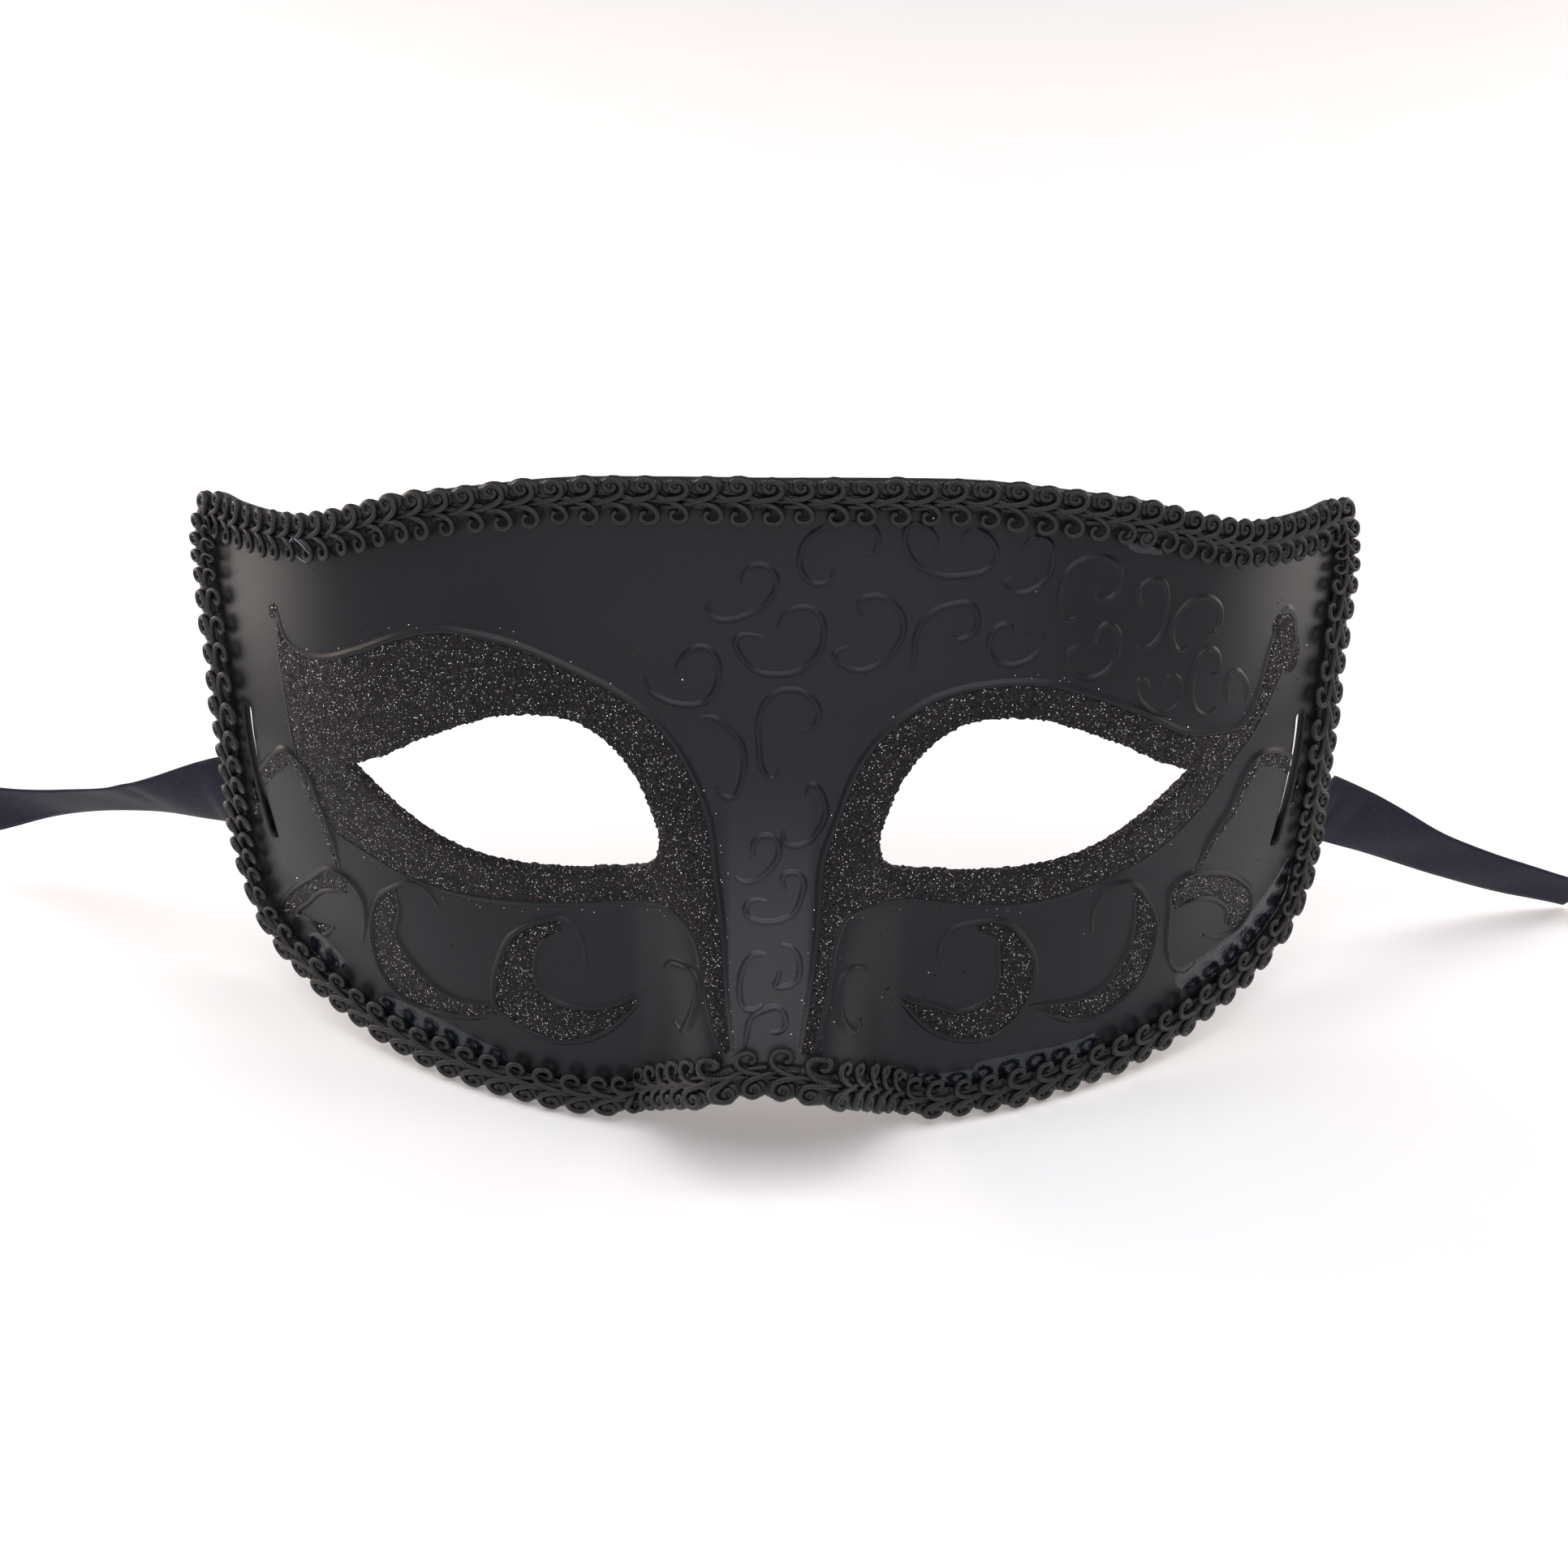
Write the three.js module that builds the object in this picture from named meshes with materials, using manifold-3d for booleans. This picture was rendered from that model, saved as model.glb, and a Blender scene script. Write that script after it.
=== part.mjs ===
// Half-face masquerade mask: a moulded black plastic shell with a nose ridge, two almond eye openings,
// ribbon slits and raised scrolls, a gimp braid glued round its whole edge, and two satin ribbon ties.
// Millimetres, +Z up, the wearer's front faces -Y. The mask stands on the braid under its cheeks at z = 0.
//
// Everything is drawn on a flat chart first: s runs along the face's horizontal curve from its middle,
// z is the height, and n is the distance in front of the shell's front face. One function, faceForm,
// then bends the chart into the face. So the outline, the holes, the scrolls, the braid and the ribbons
// all follow the same form.

import * as THREE from 'three';
import { mergeVertices } from 'three/addons/utils/BufferGeometryUtils.js';
import Module from 'manifold-3d';

const wasm = await Module();
wasm.setup();

// Driving sizes of the shell
const ARC_HALF = 96;          // from the middle of the face to the braid's outer edge, along the curve
const FACE_HEIGHT = 102.5;    // from the floor to the top edge of the braid
const WALL = 1.4;             // moulded plastic
const BROW_LEAN = 7;          // how far the top edge leans back
const CHEEK_TUCK = 3;         // how far the bottom edge curls in
const HOLLOW_DEPTH = 3;       // dish round each eye

// Nose ridge
const NOSE_REACH = 17;        // in front of the cheeks at its tip
const NOSE_HALF = 6.5;        // half its flat top, at the tip
const NOSE_FLARE = 3.5;       // wider by this at the brow
const NOSE_SLOPE = 13;        // width of each flank
const NOSE_REGION = NOSE_HALF + NOSE_FLARE + NOSE_SLOPE + 1;

// Openings
const EYE_LENGTH = 47.3;
const EYE_HEIGHT = 25.9;
const EYE_INNER = 15.5;       // from the middle of the nose to the inner corner
const EYE_BOTTOM = 40.6;      // height of the lower lid
const SLIT_LENGTH = 25;
const SLIT_WIDTH = 2;
const SLIT_MIDDLE = 44;       // height
const SLIT_INSET = 1.6;       // from the braid's inner edge to the middle of the slit

// Raised scrolls and border lines
const SCROLL_WIDTH = 1.3;
const SCROLL_HEIGHT = 0.5;
const LINE_WIDTH = 1.5;
const LINE_HEIGHT = 0.6;
const SUNK = 0.4;             // how deep a raised line is rooted in the wall

// Gimp braid round the edge
const BRAID_WIDTH = 8;
const BRAID_THICK = 2.2;
const BRAID_SIDE = 0.9;       // thickness at its two edges
const BRAID_CREST = 4;        // width of its highest part
const OVERHANG = 1.5;         // how far the braid stands past the shell's edge
const CLEARANCE = 0.3;        // between pieces that are glued together

// Satin ribbons
const RIBBON_WIDTH = 10;
const RIBBON_THICK = 1;
const RIBBON_GAP = 0.4;      // behind the wall, so its flat width clears the curve
const RIBBON_HIDDEN = 4.6;    // length behind the shell, on the inner side of the slit
const RIBBON_PAST_BRAID = 5.8; // how far it follows the face's curve past the braid

// Facet sizes
const NOSE_COLUMNS = 14;      // on each side of the middle, over the nose and its flanks
const SIDE_COLUMNS = 10;      // on each side, from there to past the edge
const ROWS = 14;
const BRAID_STEP = 5;
const BRAID_STEP_AT_NOSE = 1.5;

const COLOURS = { shell: 0x2b2d32, braid: 0x16171b, ribbon: 0x3d3c4a };

// Turn of the horizontal section in degrees, one value for each tenth of ARC_HALF from the middle
const TURN = {
  brow:  [0, 2, 4.5, 7.5, 13, 20.5, 29, 37.5, 45, 50, 52, 53.5, 54],
  cheek: [0, 7, 13.5, 20, 27, 33, 38.5, 43.5, 47, 49.5, 51, 52.5, 53],
};

// Heights where the form changes, as shares of FACE_HEIGHT
const LEVEL = {
  cheek: 0.09, brow: 0.556, leanFrom: 0.517, leanOver: 0.488, tuckFrom: 0.175,
  noseTop: 0.654, noseLow: 0.049, flareFrom: 0.146, flareOver: 0.44, eye: 0.39, eyeSpread: 0.166,
};
const EYE_CENTRE = 0.417;     // middle of the dish, share of ARC_HALF
const EYE_SPREAD = 0.27;      // its half width, share of ARC_HALF

// Middle line of the braid, right half, from top middle to bottom middle: s as a share of ARC_HALF,
// z as a share of FACE_HEIGHT
const RIM = [
  [0, 0.961], [0.16, 0.96], [0.3, 0.953], [0.4, 0.937], [0.48, 0.92], [0.56, 0.898], [0.635, 0.868],
  [0.72, 0.838], [0.81, 0.822], [0.89, 0.813], [0.952, 0.806], [0.971, 0.755],
  [0.957, 0.67], [0.94, 0.59], [0.934, 0.51], [0.94, 0.43], [0.955, 0.35], [0.972, 0.275], [0.974, 0.205],
  [0.955, 0.155], [0.9, 0.113], [0.81, 0.083], [0.7, 0.06], [0.6, 0.047], [0.48, 0.041], [0.36, 0.041],
  [0.27, 0.045], [0.207, 0.06], [0.162, 0.095], [0.125, 0.138], [0.083, 0.172], [0.042, 0.186], [0, 0.189],
];

// Eye opening from its outer corner over the top and back: shares of EYE_LENGTH and EYE_HEIGHT
const EYE = [
  [1, 0.5], [0.86, 0.63], [0.74, 0.765], [0.61, 0.885], [0.48, 0.975], [0.35, 1], [0.25, 0.975],
  [0.16, 0.88], [0.085, 0.72], [0.03, 0.52], [0, 0.3], [0.03, 0.17], [0.1, 0.09], [0.2, 0.05],
  [0.32, 0.015], [0.5, 0], [0.62, 0.03], [0.72, 0.1], [0.82, 0.22], [0.92, 0.37], [1, 0.5],
];

// Raised border line over the eye, from the nose to the temple: shares of ARC_HALF and FACE_HEIGHT
const BORDER = {
  right: [[0.055, 0.22], [0.069, 0.34], [0.077, 0.46], [0.1, 0.52], [0.13, 0.585], [0.17, 0.635],
    [0.215, 0.67], [0.26, 0.69], [0.335, 0.698], [0.41, 0.692], [0.48, 0.668], [0.56, 0.63], [0.635, 0.59],
    [0.7, 0.575], [0.745, 0.576], [0.775, 0.615], [0.8, 0.665], [0.82, 0.702]],
  left: [[-0.052, 0.22], [-0.065, 0.34], [-0.08, 0.45], [-0.09, 0.52], [-0.12, 0.585], [-0.16, 0.645],
    [-0.225, 0.69], [-0.29, 0.718], [-0.365, 0.741], [-0.43, 0.751], [-0.49, 0.751], [-0.56, 0.732],
    [-0.63, 0.702], [-0.69, 0.673], [-0.735, 0.673], [-0.775, 0.683], [-0.797, 0.717]],
};

// Scrolls: each is an arc of an ellipse whose ends curl inwards. s and z place its centre, as shares of
// ARC_HALF and FACE_HEIGHT; wide and tall are its half sizes as shares of SCROLL_SIZE; from and to are the
// angles of its ends in degrees; curl0 and curl1 say how far each end curls towards the centre.
const SCROLL_SIZE = 5;
const SCROLLS = [
  { s: -0.042, z: 0.827, wide: 1.04, tall: 0.8, from: 130, to: -175, curl0: 0.55, curl1: 0.1 },
  { s: 0.099, z: 0.886, wide: 1.12, tall: 0.98, from: -60, to: -400, curl0: 0.5, curl1: 0.45 },
  { s: 0.26, z: 0.881, wide: 1.3, tall: 0.8, from: 95, to: 440, curl0: 0.55, curl1: 0.55 },
  { s: 0.014, z: 0.764, wide: 1.24, tall: 1, from: 110, to: -200, curl0: 0.65, curl1: 0.6 },
  { s: 0.144, z: 0.774, wide: 1, tall: 1.04, from: 140, to: -160, curl0: 0.5, curl1: 0.3 },
  { s: 0.26, z: 0.761, wide: 1, tall: 1, from: -60, to: 215, curl0: 0.5, curl1: 0 },
  { s: 0.357, z: 0.751, wide: 0.8, tall: 0.64, from: 60, to: 380, curl0: 0.5, curl1: 0.1 },
  { s: -0.12, z: 0.712, wide: 1.1, tall: 0.84, from: 175, to: -180, curl0: 0.55, curl1: 0 },
  { s: 0.026, z: 0.634, wide: 0.84, tall: 1.24, from: -20, to: 265, curl0: 0.3, curl1: 0.2 },
  { s: -0.083, z: 0.6, wide: 0.86, tall: 1.12, from: 110, to: -95, curl0: 0, curl1: 0.3 },
  { s: 0.042, z: 0.522, wide: 0.6, tall: 0.9, from: 80, to: -170, curl0: 0.1, curl1: 0.4 },
  { s: -0.013, z: 0.466, wide: 0.58, tall: 0.6, from: -150, to: 190, curl0: 0, curl1: 0.5 },
  { s: 0.013, z: 0.41, wide: 0.8, tall: 0.66, from: 130, to: -200, curl0: 0.3, curl1: 0.35 },
  { s: -0.018, z: 0.31, wide: 0.5, tall: 0.78, from: 60, to: 300, curl0: 0.2, curl1: 0.2 },
  { s: 0.021, z: 0.33, wide: 0.44, tall: 0.6, from: 110, to: -170, curl0: 0.1, curl1: 0.4 },
  { s: -0.003, z: 0.249, wide: 0.56, tall: 0.5, from: 195, to: -60, curl0: 0, curl1: 0.4 },
  { s: 0.375, z: 0.853, wide: 0.76, tall: 0.8, from: 200, to: 490, curl0: 0.3, curl1: 0.5 },
  { s: 0.469, z: 0.824, wide: 0.94, tall: 0.84, from: 265, to: -100, curl0: 0.1, curl1: 0.6 },
  { s: 0.477, z: 0.735, wide: 0.78, tall: 0.8, from: 150, to: 480, curl0: 0.3, curl1: 0.5 },
  { s: 0.5625, z: 0.776, wide: 0.6, tall: 0.96, from: 170, to: -125, curl0: 0.4, curl1: 0.1 },
  { s: 0.646, z: 0.746, wide: 0.82, tall: 0.78, from: 255, to: -60, curl0: 0.1, curl1: 0.4 },
  { s: 0.586, z: 0.659, wide: 0.8, tall: 0.66, from: 120, to: 470, curl0: 0.4, curl1: 0.5 },
  { s: 0.671, z: 0.654, wide: 0.6, tall: 1, from: 10, to: 300, curl0: 0.3, curl1: 0 },
  { s: 0.732, z: 0.632, wide: 0.44, tall: 0.56, from: 220, to: -50, curl0: 0, curl1: 0.2 },
  { s: 0.83, z: 0.67, wide: 0.56, tall: 0.9, from: 100, to: -185, curl0: 0, curl1: 0.4 },
];

// Large leaf scrolls of the cheeks, right side, mirrored onto the left: an outer and an inner line each
const LEAF_SIZE = 10;
const LEAVES = [
  { s: 0.335, z: 0.228, wide: 0.76, tall: 0.98, from: 172, to: -140, curl0: 0, curl1: -0.2 },
  { s: 0.29, z: 0.24, wide: 0.62, tall: 0.6, from: 70, to: -135, curl0: 0, curl1: -0.5 },
  { s: 0.56, z: 0.229, wide: 0.75, tall: 1.14, from: 140, to: -125, curl0: 0.1, curl1: -0.3 },
  { s: 0.49, z: 0.233, wide: 0.85, tall: 0.75, from: 50, to: -110, curl0: 0, curl1: 0 },
  { s: 0.755, z: 0.232, wide: 1.05, tall: 0.95, from: 200, to: -60, curl0: 0.1, curl1: 0.2 },
  { s: 0.735, z: 0.22, wide: 0.65, tall: 0.6, from: 130, to: -20, curl0: 0, curl1: 0 },
  { s: 0.125, z: 0.264, wide: 0.22, tall: 0.48, from: 10, to: 290, curl0: 0.1, curl1: 0.1 },
  { s: 0.8, z: 0.41, wide: 0.85, tall: 1, from: 215, to: -15, curl0: -0.3, curl1: 0 },
];

// Ribbon routes past the shell's edge. reach is how far sideways the ribbon goes from there to its free end;
// run, back and drop are shares of it, and turn is the twist of the ribbon's width from upright in degrees.
const RIBBONS = {
  left: {
    side: -1,
    height: 32.6,
    reach: 44,
    route: [
      { run: 0, back: 0, drop: 0, turn: -5 },
      { run: 0.2, back: 0.19, drop: 0.125, turn: 27 },
      { run: 0.4, back: 0.36, drop: 0.225, turn: 47 },
      { run: 0.6, back: 0.5, drop: 0.3, turn: 50 },
      { run: 0.8, back: 0.6, drop: 0.365, turn: 42 },
      { run: 1, back: 0.68, drop: 0.43, turn: 20 },
    ],
  },
  right: {
    side: 1,
    height: 30.9,
    reach: 44.03,
    route: [
      { run: 0, back: 0, drop: 0, turn: 0 },
      { run: 0.2, back: 0.17, drop: 0.165, turn: 22 },
      { run: 0.4, back: 0.31, drop: 0.325, turn: 38 },
      { run: 0.6, back: 0.42, drop: 0.45, turn: 41 },
      { run: 0.8, back: 0.5, drop: 0.55, turn: 41 },
      { run: 1, back: 0.55, drop: 0.625, turn: 44 },
    ],
  },
};

function smooth(t) {
  const c = Math.min(Math.max(t, 0), 1);
  return c * c * (3 - 2 * c);
}

// Value of an evenly spaced row at a place between its entries, through a cubic
function along(row, place) {
  const last = row.length - 1;
  const p = Math.min(Math.max(place, 0), last);
  const i = Math.min(Math.floor(p), last - 1);
  const f = p - i;
  const before = row[Math.max(i - 1, 0)];
  const after = row[Math.min(i + 2, last)];
  const in0 = i === 0 ? row[1] - row[0] : (row[i + 1] - before) / 2;
  const in1 = (after - row[i]) / 2;
  const f2 = f * f;
  const f3 = f2 * f;
  return row[i] * (2 * f3 - 3 * f2 + 1) + in0 * (f3 - 2 * f2 + f)
    + row[i + 1] * (3 * f2 - 2 * f3) + in1 * (f3 - f2);
}

// Horizontal section as points one step of arc length apart
const SECTION_STEP = 0.5;
function section(turns) {
  const points = [[0, 0]];
  const count = Math.ceil(1.4 * ARC_HALF / SECTION_STEP);
  for (let i = 1; i <= count; i++) {
    const place = (i - 0.5) * SECTION_STEP / (ARC_HALF / 10);
    const angle = THREE.MathUtils.degToRad(along(turns, place));
    const [x, y] = points[i - 1];
    points.push([x + Math.cos(angle) * SECTION_STEP, y + Math.sin(angle) * SECTION_STEP]);
  }
  return points;
}
const BROW_SECTION = section(TURN.brow);
const CHEEK_SECTION = section(TURN.cheek);

function onSection(points, distance) {
  const place = Math.min(distance / SECTION_STEP, points.length - 1.001);
  const i = Math.floor(place);
  const f = place - i;
  return [0, 1].map((k) => points[i][k] * (1 - f) + points[i + 1][k] * f);
}

// Front face of the shell at one place of the chart
function frontFace(s, z) {
  const a = Math.abs(s);
  const h = z / FACE_HEIGHT;
  const w = smooth((h - LEVEL.cheek) / (LEVEL.brow - LEVEL.cheek));
  const brow = onSection(BROW_SECTION, a);
  const cheek = onSection(CHEEK_SECTION, a);
  const x = (brow[0] * w + cheek[0] * (1 - w)) * Math.sign(s);
  let y = brow[1] * w + cheek[1] * (1 - w);
  y += BROW_LEAN * smooth((h - LEVEL.leanFrom) / LEVEL.leanOver);
  y += CHEEK_TUCK * Math.max(0, 1 - h / LEVEL.tuckFrom) ** 2;
  const rise = smooth((LEVEL.noseTop - h) / (LEVEL.noseTop - LEVEL.noseLow));
  const half = NOSE_HALF + NOSE_FLARE * smooth((h - LEVEL.flareFrom) / LEVEL.flareOver);
  y -= NOSE_REACH * rise * (1 - smooth((a - half) / NOSE_SLOPE));
  const across = (a / ARC_HALF - EYE_CENTRE) / EYE_SPREAD;
  const up = (h - LEVEL.eye) / LEVEL.eyeSpread;
  y += HOLLOW_DEPTH * Math.exp(-across * across - up * up);
  return new THREE.Vector3(x, y, z);
}

// A chart point (s, z, n) in space: n is measured along the front face's normal
function faceForm(s, z, n) {
  const d = 0.25;
  const alongS = frontFace(s + d, z).sub(frontFace(s - d, z));
  const alongZ = frontFace(s, z + d).sub(frontFace(s, z - d));
  const normal = alongS.cross(alongZ).normalize();
  return frontFace(s, z).addScaledVector(normal, n);
}

// Closed body from rings of points: ends are capped, or joined where the body is a loop
function loft(rings, loop) {
  const size = rings[0].length;
  const corners = rings.flat().flatMap((p) => [p.x, p.y, p.z]);
  const index = [];
  const count = loop ? rings.length : rings.length - 1;
  for (let i = 0; i < count; i++) {
    const here = i * size;
    const next = ((i + 1) % rings.length) * size;
    for (let k = 0; k < size; k++) {
      const k1 = (k + 1) % size;
      index.push(here + k, here + k1, next + k1, here + k, next + k1, next + k);
    }
  }
  if (!loop) {
    const end = (rings.length - 1) * size;
    for (let k = 1; k < size - 1; k++) {
      index.push(0, k + 1, k, end, end + k, end + k + 1);
    }
  }
  const geometry = new THREE.BufferGeometry();
  geometry.setAttribute('position', new THREE.Float32BufferAttribute(corners, 3));
  geometry.setIndex(index);
  return geometry;
}

// With keepGrid each triangle has a face number of its own, so cuts leave the grid's points where they are
function toSolid(geometry, keepGrid = false) {
  const bare = geometry.clone();
  bare.deleteAttribute('normal');
  bare.deleteAttribute('uv');
  const merged = mergeVertices(bare, 1e-5);
  const data = {
    numProp: 3,
    vertProperties: new Float32Array(merged.attributes.position.array),
    triVerts: new Uint32Array(merged.index.array),
  };
  if (keepGrid) {
    data.faceID = new Uint32Array(merged.index.count / 3).map((_, i) => i);
  }
  return new wasm.Manifold(new wasm.Mesh(data));
}

function toGeometry(solid) {
  const mesh = solid.getMesh();
  const geometry = new THREE.BufferGeometry();
  geometry.setAttribute('position', new THREE.Float32BufferAttribute(mesh.vertProperties, 3));
  geometry.setIndex(new THREE.Uint32BufferAttribute(mesh.triVerts, 1));
  return geometry;
}

// Bend a flat body from the chart into the face
function bend(geometry) {
  const position = geometry.attributes.position;
  for (let i = 0; i < position.count; i++) {
    const p = faceForm(position.getX(i), position.getY(i), position.getZ(i));
    position.setXYZ(i, p.x, p.y, p.z);
  }
  return geometry;
}

// Smooth chart curve through points given as [s, z]
function curveThrough(points, closed) {
  const places = points.map(([s, z]) => new THREE.Vector3(s, z, 0));
  return new THREE.CatmullRomCurve3(places, closed, 'centripetal');
}

// Places along the curve at the height of the slits
const SIDE_RIM = 0.94 * ARC_HALF;
const SLIT_PLACE = SIDE_RIM - BRAID_WIDTH / 2 - SLIT_INSET;
const RIBBON_START = SLIT_PLACE - RIBBON_HIDDEN;
const RIBBON_LEAVES = SIDE_RIM + BRAID_WIDTH / 2 + RIBBON_PAST_BRAID;

const rimHalf = RIM.map(([s, z]) => [s * ARC_HALF, z * FACE_HEIGHT]);
const rimOtherHalf = rimHalf.slice(1, -1).reverse().map(([s, z]) => [-s, z]);
const rimCurve = curveThrough([...rimHalf, ...rimOtherHalf], true);

// Places along the braid's middle line, closer together where it climbs over the nose
function rimPlaces() {
  const length = rimCurve.getLength();
  const places = [];
  let run = 0;
  while (run < length - 1) {
    const point = rimCurve.getPointAt(run / length);
    const tangent = rimCurve.getTangentAt(run / length);
    places.push({ point, outward: new THREE.Vector3(-tangent.y, tangent.x, 0) });
    const atNose = Math.abs(point.x) < NOSE_REGION && point.y < FACE_HEIGHT / 3;
    run += atNose ? BRAID_STEP_AT_NOSE : BRAID_STEP;
  }
  return places;
}
const RIM_PLACES = rimPlaces();

// The braid's middle line moved outwards, or inwards where reach is negative
function rimOutline(reach) {
  return RIM_PLACES.map(({ point, outward }) => point.clone().addScaledVector(outward, reach));
}

function plate(outline) {
  const shape = new THREE.Shape(outline.map((p) => new THREE.Vector2(p.x, p.y)));
  const geometry = new THREE.ExtrudeGeometry(shape, { depth: 3 * WALL, bevelEnabled: false });
  return toSolid(geometry.translate(0, 0, -2 * WALL));
}

function eyeOutline(side) {
  const points = EYE.map(([u, v]) => [side * (EYE_INNER + u * EYE_LENGTH), EYE_BOTTOM + v * EYE_HEIGHT]);
  return curveThrough(points, false).getPoints(40).slice(0, -1);
}

function slitOutline(side) {
  const half = SLIT_LENGTH / 2 - SLIT_WIDTH / 2;
  const points = [];
  for (let k = 0; k <= 6; k++) {
    const angle = Math.PI * k / 6;
    points.push([Math.cos(angle), half + Math.sin(angle) * SLIT_WIDTH / 2]);
  }
  for (let k = 0; k <= 6; k++) {
    const angle = Math.PI * (1 + k / 6);
    points.push([Math.cos(angle), -half + Math.sin(angle) * SLIT_WIDTH / 2]);
  }
  return points.map(([c, z]) => new THREE.Vector2(side * SLIT_PLACE + c * SLIT_WIDTH / 2, SLIT_MIDDLE + z));
}

// Raised line on the flat chart, tapering to both ends
function raisedLine(curve, pieces, width, height) {
  const rings = [];
  for (let i = 0; i <= pieces; i++) {
    const u = i / pieces;
    const point = curve.getPointAt(u);
    const tangent = curve.getTangentAt(u);
    const aside = new THREE.Vector3(-tangent.y, tangent.x, 0);
    const taper = Math.min(1, 0.35 + 3 * Math.min(u, 1 - u));
    const half = width / 2 * taper;
    const corner = (offset, n) => point.clone().addScaledVector(aside, offset).setZ(n);
    rings.push([corner(-half, -SUNK), corner(half, -SUNK), corner(half / 2, height * taper),
      corner(-half / 2, height * taper)]);
  }
  return toSolid(loft(rings, false));
}

function scrollCurve(row, size, side) {
  const points = [];
  const steps = 14;
  for (let i = 0; i <= steps; i++) {
    const u = i / steps;
    const angle = THREE.MathUtils.degToRad(row.from + (row.to - row.from) * u);
    const start = row.curl0 * Math.max(0, 1 - u / 0.3) ** 2;
    const end = row.curl1 * Math.max(0, 1 - (1 - u) / 0.3) ** 2;
    const share = 1 - start - end;
    const s = row.s * ARC_HALF + share * row.wide * size * Math.cos(angle);
    const z = row.z * FACE_HEIGHT + share * row.tall * size * Math.sin(angle);
    points.push([side * s, z]);
  }
  return curveThrough(points, false);
}

function relief() {
  const lines = [];
  for (const border of Object.values(BORDER)) {
    const points = border.map(([s, z]) => [s * ARC_HALF, z * FACE_HEIGHT]);
    lines.push(raisedLine(curveThrough(points, false), 20, LINE_WIDTH, LINE_HEIGHT));
  }
  for (const row of SCROLLS) {
    lines.push(raisedLine(scrollCurve(row, SCROLL_SIZE, 1), 8, SCROLL_WIDTH, SCROLL_HEIGHT));
  }
  for (const side of [-1, 1]) {
    for (const row of LEAVES) {
      lines.push(raisedLine(scrollCurve(row, LEAF_SIZE, side), 8, LINE_WIDTH, LINE_HEIGHT));
    }
  }
  return lines;
}

// The shell's own edge lies inside the braid's outer edge by the overhang, and the raised lines stop
// short of the braid's inner edge
function maskShell() {
  const columns = NOSE_COLUMNS + SIDE_COLUMNS;
  const slab = new THREE.BoxGeometry(2 * columns, 1.1 * FACE_HEIGHT, WALL, 2 * columns, ROWS, 1);
  slab.translate(0, FACE_HEIGHT / 2, -WALL / 2);
  const position = slab.attributes.position;
  for (let i = 0; i < position.count; i++) {
    const column = Math.abs(position.getX(i));
    const fine = Math.min(column / NOSE_COLUMNS, 1) * NOSE_REGION;
    const coarse = Math.max(column - NOSE_COLUMNS, 0) / SIDE_COLUMNS * (1.1 * ARC_HALF - NOSE_REGION);
    position.setX(i, Math.sign(position.getX(i)) * (fine + coarse));
  }
  let shell = toSolid(slab, true).intersect(plate(rimOutline(BRAID_WIDTH / 2 - OVERHANG)));
  const insideBraid = plate(rimOutline(-BRAID_WIDTH / 2 - CLEARANCE));
  for (const line of relief()) {
    shell = shell.add(line.intersect(insideBraid));
  }
  for (const side of [-1, 1]) {
    shell = shell.subtract(plate(eyeOutline(side)));
    shell = shell.subtract(plate(slitOutline(side)));
  }
  return bend(toGeometry(shell));
}

// Crowned band with flat edges, glued on the front along the rim
function edgeBraid() {
  const half = BRAID_WIDTH / 2;
  const crest = BRAID_CREST / 2;
  const profile = [[half, 0], [half, BRAID_SIDE], [crest, BRAID_THICK], [-crest, BRAID_THICK],
    [-half, BRAID_SIDE], [-half, 0], [-crest, 0], [0, 0], [crest, 0]];
  const rings = RIM_PLACES.map(({ point, outward }) => profile.map(([across, n]) => {
    const p = point.clone().addScaledVector(outward, across);
    return faceForm(p.x, p.y, n + CLEARANCE);
  }));
  return loft(rings, true);
}

function ribbon({ side, height, reach, route }) {
  const behind = -(WALL + RIBBON_GAP);
  const rings = [];
  const ring = (low, high, away) => {
    rings.push([low, high, high.clone().add(away), low.clone().add(away)]);
  };
  const hidden = 6;
  for (let i = 0; i < hidden; i++) {
    const s = side * (RIBBON_START + (RIBBON_LEAVES - RIBBON_START) * i / hidden);
    const edge = (z) => faceForm(s, z, behind);
    const low = edge(height - RIBBON_WIDTH / 2);
    const high = edge(height + RIBBON_WIDTH / 2);
    const away = faceForm(s, height, behind - RIBBON_THICK).sub(edge(height));
    ring(low, high, away);
  }
  const start = faceForm(side * RIBBON_LEAVES, height, behind);
  const points = route.map(({ run, back, drop }) => start.clone().add(
    new THREE.Vector3(side * run, back, -drop).multiplyScalar(reach)));
  const curve = new THREE.CatmullRomCurve3(points, false, 'centripetal');
  const free = 12;
  for (let i = 0; i <= free; i++) {
    const u = i / free;
    const tangent = curve.getTangent(u);
    const turn = THREE.MathUtils.degToRad(along(route.map((row) => row.turn), u * (route.length - 1)));
    const upright = new THREE.Vector3(0, 0, 1).addScaledVector(tangent, -tangent.z).normalize();
    const across = upright.applyAxisAngle(tangent, side * turn);
    const away = across.clone().cross(tangent).multiplyScalar(side * RIBBON_THICK);
    const middle = curve.getPoint(u);
    const low = middle.clone().addScaledVector(across, -RIBBON_WIDTH / 2);
    const high = middle.clone().addScaledVector(across, RIBBON_WIDTH / 2);
    ring(low, high, away);
  }
  const facing = side < 0 ? rings : rings.map((r) => [r[1], r[0], r[3], r[2]]);
  return loft(facing, false);
}

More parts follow.
